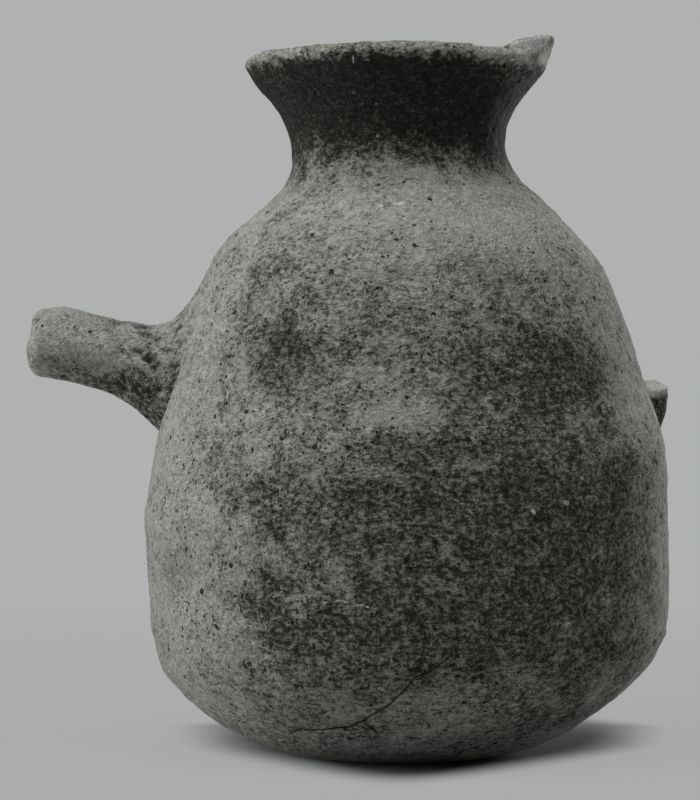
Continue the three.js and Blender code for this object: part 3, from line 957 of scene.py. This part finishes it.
def make_fillet(node, material):
    """The trumpet of clay pressed round the spout's root: the spout's own form from inside the wall
    to the join, torn and ragged, and back again a little inside the tube."""
    reaches = rows_between(FILLET_ROOT, SPOUT_JOIN + 2.0, FILLET_ROW_STEP)
    outer = spout_section(reaches[:, None], FILLET_TURNS)
    normals = outward_normals(outer)
    relief, hollow = spout_relief(outer)
    edge = -outer[..., 0] + 2.0 * lattice_noise(outer, 7, 75)
    sink = 1.3 * smooth_step(SPOUT_JOIN - 0.5, SPOUT_JOIN + 2.0, edge)
    ridge = spout_ridge(FILLET_TURNS, -outer[..., 0])
    moved = held_in_wall(outer + normals * (relief + ridge - sink)[..., None], FILLET_DEPTH)
    inner = held_in_wall(spout_section(reaches[::-1][::8][:, None], FILLET_TURNS, 2.6), TUBE_DEPTH)
    # Painted shade: the fillet's inside, hidden in the tube, is black
    inside = np.ones(inner.shape[:2])
    make_tube(node, [(moved, hollow, spout_stain(moved, hollow)), (inner, inside, inside)], material)


# What is left of the handle

# The upper root along the lip: azimuth, height of its crest, reach of its crest
HORN_CREST = (
    (-58, 221.2, 44.6),
    (-52, 221.8, 44.6),
    (-46, 222.8, 44.7),
    (-41, 224, 45),
    (-35, 225.9, 45.5),
    (-29, 227.2, 46.7),
    (-25, 227.8, 48.2),
    (-21, 228.3, 49.1),
    (-15, 228.6, 49.5),
    (-8, 228.9, 49.6),
    (0, 229.4, 49.7),
    (8, 230.2, 50),
    (15, 230.6, 50.2),
    (21, 229.4, 49.8),
    (26, 226.8, 49),
    (30, 222.6, 47.6),
)
HORN_FOOT = 214.6
HORN_SECTIONS = 190
HORN_COLUMNS = 130

# Lower edge of its broken face: azimuth, height
HORN_BREAK = (
    (-58, 220.8),
    (-46, 219.6),
    (-39, 219.4),
    (-30, 221),
    (-22, 223.7),
    (-17, 226.5),
    (-8, 229.2),
    (30, 231.5),
)

# A pit in the broken face: place, radius, depth
HORN_PIT = (33.4, -29.7, 221.8)
HORN_PIT_RADIUS = 1.5
HORN_PIT_DEPTH = 1.3

# Layers of noise on the broken clay: height in mm, cell in mm, seed
HORN_TEARS = ((0.8, 7.5, 81), (0.5, 3.2, 82))
HORN_CRUMBS = ((0.28, 1.5, 83), (0.2, 2.6, 86))
STUMP_TEARS = ((0.9, 6.0, 91), (0.5, 2.8, 92))
PAD_TEARS = ((0.6, 5.0, 95), (0.35, 2.2, 96))

# The stump's wedge: share of its height, how far it stands out of the wall
STUMP_REACHES = ((0, 0.4), (0.3, 4.0), (0.65, 7.8), (0.9, 10.0), (1, 10.4))

# How deep in the wall the middles of the stump's and the pad's sections lie
SECTION_DEPTH = 2.0
SECTION_COLUMNS = 220


def rounded_loop(bends, count, rounds):
    """Points round a closed loop of bends, each a row of places, spaced by the mean length of the
    loop's sides. Each round of smoothing averages a point with its neighbours."""
    loop = np.array(bends + bends[:1])
    spans = np.linalg.norm(np.diff(loop, axis=0), axis=1).mean(1)
    knots = np.concatenate(([0], np.cumsum(spans)))
    steps = np.linspace(0, knots[-1], count, endpoint=False)
    first = np.clip(np.searchsorted(knots, steps, side="right") - 1, 0, len(spans) - 1)
    share = ((steps - knots[first]) / spans[first])[:, None, None]
    section = loop[first] * (1 - share) + loop[first + 1] * share
    for _ in range(rounds):
        section = section * 0.5 + 0.25 * (np.roll(section, 1, 0) + np.roll(section, -1, 0))
    return section[:, 0], section[:, 1]


def make_horn(node, material):
    """The handle's upper root: a broken horn on the lip. At each azimuth its section runs from a
    thin foot on the neck, straight on past the lip to the crest, then down the torn inner slope
    and back underneath. The foot and both ends sink into the clay of the rim."""
    knots, *crests = np.transpose(HORN_CREST)
    azimuths = np.linspace(knots[0], knots[-1], HORN_SECTIONS)
    angles = np.radians(azimuths)
    crest_height, crest_reach = [smooth_curve(knots, values, azimuths) for values in crests]
    lip_height = np.full(len(azimuths), fine_heights[-1])
    lip_reach = face_reach(lip_height, angles)
    grown = smooth_step(knots[0], -22, azimuths) * (1 - smooth_step(25, 30, azimuths))
    foot_height = lip_height - 0.6 - (fine_heights[-1] - 0.6 - HORN_FOOT) * grown
    foot_reach = face_reach(foot_height, angles)
    shoulder_height = (foot_height + lip_height) / 2
    shoulder_reach = face_reach(shoulder_height, angles)
    bends = (
        (foot_reach - 1.6, foot_height),
        (foot_reach - 0.3, foot_height),
        (shoulder_reach + 0.35 * grown, shoulder_height),
        (lip_reach + 0.1 + 0.3 * grown, lip_height + 0.2),
        (crest_reach - 0.25, crest_height - 1.5),
        (crest_reach - 0.9, crest_height - 0.2),
        (crest_reach - 2.2, crest_height - 0.7),
        (crest_reach - 3.2, (crest_height + lip_height) / 2 + 1.4),
        (lip_reach - 6.4, lip_height + 1.0),
        (lip_reach - 6.0, lip_height - 0.4),
        (lip_reach - 3.2, lip_height - 1.2),
    )
    reach, height = rounded_loop(bends, HORN_COLUMNS, 3)
    points = turned(reach, angles, height).swapaxes(0, 1)
    normals = outward_normals(points)
    above = smooth_step(-0.5, 2.5, points[..., 2] - lip_height[:, None])
    torn = layered(points, HORN_TEARS)
    crumbs = layered(points, HORN_CRUMBS)
    pit = bell(np.linalg.norm(points - HORN_PIT, axis=-1), HORN_PIT_RADIUS)
    relief = (0.25 + 0.6 * above) * torn + crumbs - HORN_PIT_DEPTH * pit
    points = points + normals * relief[..., None]
    side = np.degrees(np.arctan2(points[..., 1], points[..., 0]))
    edge = np.interp(side, *np.transpose(HORN_BREAK)) + 1.8 * lattice_noise(points, 3.5, 84)
    inward = smooth_step(0.8, 2.2, crest_reach[:, None] - np.hypot(points[..., 0], points[..., 1]))
    broken = np.maximum(smooth_step(-0.8, 0.8, points[..., 2] - edge), inward * above)
    # The pit and the hollows of the torn clay are darkened as painted shade
    hollow = np.clip(1.4 * pit - 0.6 * torn + 0.5 * crumbs, 0, 1)
    fresh = np.clip(0.3 * lattice_noise(points, 5, 85), 0, 1)
    stain = wall_stain(points) * (1 - broken) + broken * fresh
    points, faces, (hollow, stain, broken) = capped(points, hollow, stain, broken)
    fields = {"hollow": hollow, "stain": stain, "broken": broken}
    make_piece(node, points, faces, material, "broken_clay", **fields)


def stacked_sections(heights, half_widths, reaches, power):
    """Sections on the wall at the handle's azimuth, stacked upwards. A section is a superellipse
    with its middle at a depth in the clay: |t / w|^p + |r / (reach + depth)|^p = 1."""
    turn = np.linspace(0, 2 * math.pi, SECTION_COLUMNS, endpoint=False)
    cosine, sine = np.cos(turn), np.sin(turn)
    outward = np.sign(cosine) * np.abs(cosine) ** (2 / power)
    across = np.sign(sine) * np.abs(sine) ** (2 / power)
    radial = turned(1.0, math.radians(HANDLE_AZIMUTH), 0.0)
    tangent = sideways(HANDLE_AZIMUTH)
    rows = []
    for height, half_width, reach in zip(heights, half_widths, reaches):
        middle = toward(HANDLE_AZIMUTH, height, SECTION_DEPTH)
        away = np.where(outward > 0, reach + SECTION_DEPTH, SECTION_DEPTH * 0.8) * outward
        rows.append(middle + away[:, None] * radial + (half_width * across)[:, None] * tangent)
    return np.array(rows)


def make_stump(node, material):
    """The handle's lower root: a wedge that widens upwards and ends in a broken top, which falls
    towards the front."""
    low, high = STUMP_HEIGHTS
    share = np.linspace(0, 1, 60)
    reaches = smooth_curve(*np.transpose(STUMP_REACHES), share)
    widths = STUMP_HALF_WIDTH * (0.82 + 0.18 * smooth_step(0, 0.5, share))
    sides = stacked_sections(low + (high - low) * share, widths, reaches, 4.0)
    middle = sides[-1].mean(0)
    shrink = np.cos(np.linspace(0, math.pi / 2, 26)[1:-1])[:, None, None]
    top = middle + (sides[-1] - middle) * shrink
    top[..., 2] = sides[-1, :, 2]
    points = np.concatenate([sides, top])
    share = np.concatenate([share, np.ones(len(top))])[:, None]
    fracture = smooth_step(0.80, 0.98, share) * np.ones(points.shape[:2])
    across = (points - toward(HANDLE_AZIMUTH, high)) @ sideways(HANDLE_AZIMUTH)
    slope = 0.16 * np.clip(across + 2, -14, 8) - 0.012 * np.clip(-across - 6, 0, 9) ** 2
    points[..., 2] += slope * smooth_step(0.2, 1.0, share)
    normals = outward_normals(points)
    torn = layered(points, STUMP_TEARS)
    crumbs = 0.25 * lattice_noise(points, 1.4, 93)
    relief = torn * (0.45 + 0.55 * fracture) + crumbs
    points = points + normals * relief[..., None]
    hollow = np.clip(0.25 - 0.7 * torn, 0, 1)
    stain = np.clip(0.62 * (1 - fracture) + 0.22 + 0.4 * lattice_noise(points, 6, 94), 0, 1)
    points, faces, (hollow, stain, broken) = capped(points, hollow, stain, fracture)
    make_piece(node, points, faces, material, hollow=hollow, stain=stain, broken=broken)


def make_pad(node, material):
    """The low pad on the shoulder, darker where it stands proud: painted shade."""
    low, high = PAD_HEIGHTS
    share = np.linspace(0, 1, 60)
    swell = np.sqrt(np.clip(1 - (2 * share - 1) ** 4, 0, 1))
    widths = PAD_HALF_WIDTH * (0.55 + 0.45 * swell)
    rise = 1.7 * swell - 0.3
    points = stacked_sections(low + (high - low) * share, widths, rise, 2.6)
    normals = outward_normals(points)
    torn = layered(points, PAD_TEARS)
    points = points + normals * torn[..., None]
    hollow = np.clip(0.15 - 0.7 * torn, 0, 1)
    # Painted shade: the pad is darker where it stands proud
    risen = smooth_step(0.2, 1.4, rise[:, None] + 0.5 * lattice_noise(points, 3, 98))
    stain = np.clip(0.1 + 0.5 * risen + 0.35 * lattice_noise(points, 4, 97), 0, 1)
    points, faces, (hollow, stain) = capped(points, hollow, stain)
    make_piece(node, points, faces, material, hollow=hollow, stain=stain)


# Shader maths

class Value:
    """A number that varies over a surface. Python's operators on it add Math nodes."""

    def __init__(self, shader, socket):
        self.shader = shader
        self.socket = socket

    def math(self, operation, first, second=0.0):
        node = self.shader.add("ShaderNodeMath", {"operation": operation}, {0: first, 1: second})
        return Value(self.shader, node.outputs[0])

    def __add__(self, other):
        return self.math("ADD", self, other)

    def __sub__(self, other):
        return self.math("SUBTRACT", self, other)

    def __rsub__(self, other):
        return self.math("SUBTRACT", other, self)

    def __mul__(self, other):
        return self.math("MULTIPLY", self, other)

    __radd__ = __add__
    __rmul__ = __mul__

    def magnitude(self):
        return self.math("ABSOLUTE", self)

    def most(self, other):
        return self.math("MAXIMUM", self, other)

    def between(self, low, high):
        """0 at low and 1 at high, smooth between them and held outside."""
        node = self.shader.add(
            "ShaderNodeMapRange",
            {"interpolation_type": "SMOOTHSTEP"},
            {"Value": self, "From Min": low, "From Max": high},
        )
        return Value(self.shader, node.outputs["Result"])


class Shader:
    """The nodes of one material or world. Every node comes from add(), with its settings first."""

    def __init__(self, name, owners=None):
        # An empty collection counts as false, so owners is set against None
        self.owner = (bpy.data.materials if owners is None else owners).new(name)
        self.owner.use_nodes = True
        self.tree = self.owner.node_tree
        self.tree.nodes.clear()

    def add(self, kind, settings=None, sockets=None):
        node = self.tree.nodes.new(kind)
        for name, setting in (settings or {}).items():
            setattr(node, name, setting)
        for name, value in (sockets or {}).items():
            value = value.socket if isinstance(value, Value) else value
            if isinstance(value, bpy.types.NodeSocket):
                self.tree.links.new(value, node.inputs[name])
            else:
                node.inputs[name].default_value = value
        return node

    def place(self, squeeze=(1, 1, 1)):
        """Object coordinates in mm, times a factor along each axis, which squeezes a pattern."""
        source = self.add("ShaderNodeTexCoord").outputs["Object"]
        factors = [part / MM for part in squeeze]
        scaled = self.add("ShaderNodeVectorMath", {"operation": "MULTIPLY"}, {0: source, 1: factors})
        return scaled.outputs[0]

    def noise(self, place, cell, detail=1.0, roughness=0.5):
        """Noise from 0 to 1, about 0.5, with cells of that size in mm."""
        sockets = {"Vector": place, "Scale": 1 / cell, "Detail": detail, "Roughness": roughness}
        return Value(self, self.add("ShaderNodeTexNoise", None, sockets).outputs[0])

    def stirred(self, place, cell, reach):
        """The place moved about by noise with cells of that size, by up to about reach in mm."""
        sockets = {"Vector": place, "Scale": 1 / cell, "Detail": 1.0}
        noise = self.add("ShaderNodeTexNoise", None, sockets)
        sockets = {0: noise.outputs["Color"], 1: (2 * reach,) * 3, 2: place}
        return self.add("ShaderNodeVectorMath", {"operation": "MULTIPLY_ADD"}, sockets).outputs[0]

    def spots(self, place, cell, radius, share):
        """Spots, 0 to 1, in that share of the cells: at most one to a cell, each with its own radius
        from 0.4 of that many mm up to all of it."""
        node = self.add("ShaderNodeTexVoronoi", None, {"Vector": place, "Scale": 1 / cell})
        chance = self.add("ShaderNodeSeparateColor", None, {0: node.outputs["Color"]})
        own = Value(self, chance.outputs[0])
        luck = Value(self, chance.outputs[1])
        edge = (own * 0.6 + 0.4) * (radius / cell)
        inside = (edge - Value(self, node.outputs["Distance"])).between(0.0, 0.12 / cell)
        return inside * (share - luck).between(0.0, 0.02)

    def length(self, across, along):
        """Length of a flat vector with those two parts."""
        flat = self.add("ShaderNodeCombineXYZ", None, {0: across, 1: along})
        node = self.add("ShaderNodeVectorMath", {"operation": "LENGTH"}, {0: flat.outputs[0]})
        return Value(self, node.outputs["Value"])

    def field(self, name):
        """The piece's own value of that name at each vertex."""
        node = self.add("ShaderNodeAttribute", {"attribute_name": name})
        return Value(self, node.outputs["Fac"])

    def blend(self, factor, first, second):
        """Mix of two colours."""
        sockets = {0: factor, 6: first, 7: second}
        return self.add("ShaderNodeMix", {"data_type": "RGBA"}, sockets).outputs[2]

    def finish(self, colour, height, distance):
        """A matt surface with its colour and a bump whose full height is distance in mm."""
        bump = self.add("ShaderNodeBump", None, {"Height": height, "Distance": distance * MM})
        sockets = {
            "Base Color": colour,
            "Roughness": CLAY_ROUGHNESS,
            "Specular IOR Level": CLAY_SPECULAR,
            "Normal": bump.outputs[0],
        }
        surface = self.add("ShaderNodeBsdfPrincipled", None, sockets)
        self.add("ShaderNodeOutputMaterial", None, {"Surface": surface.outputs[0]})
        return self.owner


# The clay

def grey(level, warmth=0.0):
    """A colour of that brightness. Warmth takes blue away, as smoke and iron do."""
    return (level * (1 + 0.1 * warmth), level * (1 + 0.1 * warmth), level * (1 - warmth), 1)


PALE_CLAY = grey(0.4, 0.06)
GREY_CLAY = grey(0.24, 0.1)
DIM_CLAY = grey(0.21, 0.14)
DARK_CLAY = grey(0.014, 0.2)
# Soot, and the colour of painted shade in the hollows and under the flared rim
SOOT_AND_SHADE = grey(0.01, 0.2)
BLACK = grey(0.008, 0.2)
SCRAPED_AND_HIGHLIGHT = grey(0.58)
CHALK = grey(0.5, 0.04)
DULL_FRACTURE = grey(0.42, 0.05)
FRACTURE = grey(0.6, 0.04)

CLAY_ROUGHNESS = 0.97
CLAY_SPECULAR = 0.2
CLAY_BUMP = 0.9

# Cells of the clay's noises in mm
FINE_CELL = 0.62
GRAIN_CELL = 2.0
DUST_CELL = 1.5
MOTTLE_CELL = 7.0
THREAD_CELL = 4.2
PATCH_CELL = 11.0

# Spots in the clay: cell and largest radius in mm
SPECK = (1.7, 0.62)
BLACK_SPOT = (5.0, 1.05)
FLECK = (3.3, 0.5)


def clay_ground(shader, stain, hollow, fine, grain, mottle, dust):
    """Pale clay, then smoky clay where the stain covers it, then soot on the dark grains and where the
    stain is deepest, which at the neck is soot and painted shade under the flared rim."""
    pale = shader.blend((dust * 3.0 - 1.0).between(0.0, 1.0), GREY_CLAY, PALE_CLAY)
    smoky = shader.blend(((dust - grain) * 1.8 + 0.4).between(0.0, 1.0), DARK_CLAY, DIM_CLAY)
    cover = stain + (mottle - 0.5) * 0.8 + (grain - 0.5) * 1.4 + (dust - 0.5) * 0.8
    colour = shader.blend(cover.between(0.0, 1.0), pale, smoky)
    mixed = (grain - 0.5) * (stain * 1.3 + 0.9) + (mottle - 0.5) * 0.8 + (fine - 0.5)
    # The hollows add a little painted shade to the soot on the dark grains
    dark = (mixed + stain * 0.16 + hollow * 0.12).between(-0.06, 0.5)
    colour = shader.blend(dark * 0.76, colour, SOOT_AND_SHADE)
    # Soot and painted shade where the stain is deepest: the neck under the flared rim
    soot_and_shade = stain - 1.12 + (0.5 - dust) * 1.4 + (grain - 0.5)
    return shader.blend(soot_and_shade.between(-0.4, 0.5) * 0.8, colour, SOOT_AND_SHADE)


def pale_marks(shader, colour, place, stirred, stain, flecks):
    """Chalky flecks, and fibres along the middle line of a noise, in patches of the cleaner clay."""
    thread = shader.noise(stirred, THREAD_CELL)
    patches = shader.noise(place, PATCH_CELL).between(0.56, 0.66)
    fibre = 1 - (thread - 0.5).magnitude().between(0.0, 0.02)
    wisps = fibre * patches * (1.1 - stain).between(0.0, 0.5) * 0.5
    return shader.blend((flecks * 0.5).most(wisps), colour, CHALK)


def broken_face(shader, colour, hollow, dust):
    """Fresh, pale clay where the piece is broken, with painted shade in its hollows."""
    fresh = shader.blend((dust * 2.0 - 0.5).between(0.0, 1.0), DULL_FRACTURE, FRACTURE)
    # Painted shade in the hollows of the broken face
    fresh = shader.blend(hollow * 0.8, fresh, SOOT_AND_SHADE)
    return shader.blend(shader.field("broken"), colour, fresh)


def crack_scratches_and_highlight(shader, colour, dust):
    """The black crack, and the pale, patchy scratches and smears with the painted highlight on the
    shoulder: the new colour, and 1 inside the crack.
    """
    crack = 1 - shader.field("crack_side").magnitude().between(0.08, 0.3)
    crack = crack * (1 - shader.field("crack_away").between(0.5, 1.0))
    scratch_and_highlight = 1 - shader.field("scratch_and_highlight").between(0.08, 0.45)
    colour = shader.blend(crack * 0.95, colour, BLACK)
    # The scraped colour also paints the highlight on the shoulder
    colour = shader.blend(scratch_and_highlight * (dust * 2.4 - 0.5).between(0.0, 1.0), colour, SCRAPED_AND_HIGHLIGHT)
    return colour, crack


def fired_clay(name, coarse=1.0, broken=False, marked=False):
    """Coarse fired clay: a pale ground full of dark grains that crowd together where it is stained,
    with black specks, chalky flecks and fibres, and painted shade in the hollows."""
    shader = Shader(name)
    place = shader.place()
    stirred = shader.stirred(place, 2.0, 0.5)
    squeezed = shader.stirred(shader.place((1, 1, 1.5)), 6.0, 1.2)
    blotted = shader.stirred(place, 1.1, 0.45)
    stain = shader.field("stain")
    hollow = shader.field("hollow")
    fine = shader.noise(place, FINE_CELL * coarse, 1.0, 0.6)
    grain = shader.noise(squeezed, GRAIN_CELL * coarse, 3.0, 0.85)
    mottle = shader.noise(stirred, MOTTLE_CELL, 3.0, 0.8)
    dust = shader.noise(stirred, DUST_CELL, 3.0, 0.8)
    crowd = (mottle - 0.5) * 2.4
    if marked:
        crowd = crowd + shader.field("speckle") * 0.7
    specks = shader.spots(blotted, *SPECK, stain * 0.3 + 0.14 + crowd)
    black = shader.spots(blotted, *BLACK_SPOT, stain * 0.2 + 0.26 + crowd)
    flecks = shader.spots(stirred, *FLECK, 0.16)
    colour = clay_ground(shader, stain, hollow, fine, grain, mottle, dust)
    colour = shader.blend(specks.most(black) * 0.92, colour, BLACK)
    # Painted shade: the hollows darken towards black
    colour = shader.blend(hollow * 0.6, colour, BLACK)
    colour = pale_marks(shader, colour, place, stirred, stain, flecks)
    height = fine * 0.5 + grain * 1.8 + dust - specks * 0.5 - black * 0.6 + flecks * 0.2
    if broken:
        colour = broken_face(shader, colour, hollow, dust)
    if marked:
        colour, crack = crack_scratches_and_highlight(shader, colour, dust)
        height = height - crack * 1.2
    return shader.finish(colour, height, CLAY_BUMP * coarse)


# Put the pieces in place

wall_clay = fired_clay("wall_clay", marked=True)
spout_clay = fired_clay("spout_clay", coarse=1.15)
torn_clay = fired_clay("torn_clay", broken=True)


def top_of(node):
    """Height of a node's upper seam in mm, which is its highest edge."""
    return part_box(node)[1].z / MM


make_slab("base_slab", top_of("base_slab"), wall_clay)
coils = ["base_bowl", *[f"wall_coil_{i}" for i in range(1, 8)], "neck_root_coil", "neck_collar"]
below = "base_slab"
for coil in coils:
    make_coil(coil, top_of(below), top_of(coil), wall_clay)
    below = coil
make_rim("rim_coil", top_of(below), wall_clay)
make_spout("spout_tube", spout_clay)
make_fillet("spout_fillet", spout_clay)
make_horn("handle_upper_root", torn_clay)
make_stump("handle_lower_root", torn_clay)
make_pad("shoulder_pad", spout_clay)


# Floor, light and camera

# The air and the clear floor as they are seen, the floor in shadow as it is seen, darker than it is,
# as painted shadow, and the floor as the light meets it
GLOW = (0.43, 0.445, 0.44, 1)
PAINTED_SHADOW_PAPER = (0.22, 0.225, 0.222, 1)
BOUNCE = (0.5, 0.515, 0.508, 1)
FLOOR_HALF_WIDTH = 9000.0

# The shadow, whose outline and depth are painted by where the floor stops glowing and shows its darker
# paper, in mm: X of its middle, the depths where it opens in front and closes at the back, its soft
# edge, and how far off the floor reaches its full glow
SHADOW_MIDDLE = 8.0
SHADOW_FRONT = 15.0
SHADOW_BACK = 85.0
SHADOW_EDGE = (50.0, 81.0)
FULL_GLOW = (150.0, 900.0)
CLEAR_SHARE = 0.85

ROOM_LEVEL = 0.1
LAMP_TARGET = (0, 0, 0.11)
LAMPS = (
    # name, azimuth, elevation, distance and size in metres, level
    ("top_light", -20, 66, 1.7, 1.4, 1.1),
    ("side_light", -96, 4, 1.5, 0.8, 0.85),
    ("edge_light", 145, 6, 1.6, 0.5, 0.7),
)


def seen_directly(shader):
    """1 where the camera sees the surface, straight or in a mirror or through glass, and 0 for the
    rays that carry light."""
    path = shader.add("ShaderNodeLightPath")
    seen = Value(shader, path.outputs["Is Camera Ray"])
    seen = seen.most(Value(shader, path.outputs["Is Glossy Ray"]))
    return seen.most(Value(shader, path.outputs["Is Transmission Ray"]))


def out_of_shadow(shader):
    """How much the floor glows: 0 in the shadow under the jar, whose outline this paints, CLEAR_SHARE
    past its edge, and 1 far off. The reach is the distance sideways from the shadow's middle, which
    drifts to the left in front, plus what closes the shadow in front and at the back, less a little
    with the depth."""
    apart = shader.add("ShaderNodeSeparateXYZ", None, {0: shader.place()})
    across = Value(shader, apart.outputs[0]) - SHADOW_MIDDLE
    depth = Value(shader, apart.outputs[1])
    slack = SHADOW_FRONT - depth
    front = (slack + shader.length(slack, 18.0)) * 0.5
    back = (depth - SHADOW_BACK).most(0.0)
    reach = shader.length(across + front * 0.1, 8.0) + front * 0.54 + back * 0.8 - depth * 0.12
    far = shader.length(across, depth).between(*FULL_GLOW)
    return reach.between(*SHADOW_EDGE) * CLEAR_SHARE + far * (1 - CLEAR_SHARE)


def make_stage():
    """A wide pale floor. What the camera sees of it glows like the air behind it, but for the shadow
    under the jar, where the camera sees a darker paper than the light meets: painted shadow."""
    corners = np.array([(-1, -1, 0), (1, -1, 0), (1, 1, 0), (-1, 1, 0)]) * FLOOR_HALF_WIDTH
    mesh = new_mesh("floor", corners, [np.array([[0, 1, 2, 3]])])
    shader = Shader("floor_paper")
    seen = seen_directly(shader)
    colour = shader.blend(seen, BOUNCE, PAINTED_SHADOW_PAPER)
    paper = shader.add("ShaderNodeBsdfDiffuse", None, {"Color": colour})
    glow = shader.add("ShaderNodeEmission", None, {"Color": GLOW, "Strength": 1.0})
    sockets = {0: out_of_shadow(shader) * seen, 1: paper.outputs[0], 2: glow.outputs[0]}
    mixed = shader.add("ShaderNodeMixShader", None, sockets)
    shader.add("ShaderNodeOutputMaterial", None, {"Surface": mixed.outputs[0]})
    mesh.materials.append(shader.owner)
    floor = placed("floor", mesh)


def make_lamp(name, azimuth, elevation, distance, size, level):
    """An area lamp that faces the jar. A level of 1 lights a surface that faces it so that its
    colour renders as written."""
    a, e = math.radians(azimuth), math.radians(elevation)
    back = Vector((math.sin(a) * math.cos(e), -math.cos(a) * math.cos(e), math.sin(e)))
    lamp = bpy.data.lights.new(name, "AREA")
    lamp.shape = "DISK"
    lamp.size = size
    lamp.energy = level * (math.pi * distance) ** 2
    holder = placed(name, lamp)
    holder.location = Vector(LAMP_TARGET) + back * distance
    holder.rotation_mode = "QUATERNION"
    holder.rotation_quaternion = back.to_track_quat("Z", "Y")


def make_world(level):
    """Even light from all round, and pale air where the camera looks past the floor."""
    shader = Shader("room", bpy.data.worlds)
    light = shader.add("ShaderNodeBackground", None, {"Color": (1, 1, 1, 1), "Strength": level})
    air = shader.add("ShaderNodeBackground", None, {"Color": GLOW, "Strength": 1.0})
    sockets = {0: seen_directly(shader), 1: light.outputs[0], 2: air.outputs[0]}
    mixed = shader.add("ShaderNodeMixShader", None, sockets)
    shader.add("ShaderNodeOutputWorld", None, {"Surface": mixed.outputs[0]})
    bpy.context.scene.world = shader.owner


def make_camera():
    """The camera that took the picture: level and far away."""
    camera = bpy.data.cameras.new("camera")
    camera.sensor_width = SENSOR_SIZE
    camera.lens = FOCAL_PIXELS * SENSOR_SIZE / PICTURE_HEIGHT
    holder = placed("camera", camera)
    holder.location = Vector(CAMERA_PLACE) * MM
    holder.rotation_euler = (math.pi / 2, 0, 0)
    bpy.context.scene.camera = holder


make_stage()
make_world(ROOM_LEVEL)
for lamp in LAMPS:
    make_lamp(*lamp)
make_camera()

scene = bpy.context.scene
scene.view_settings.view_transform = "Standard"
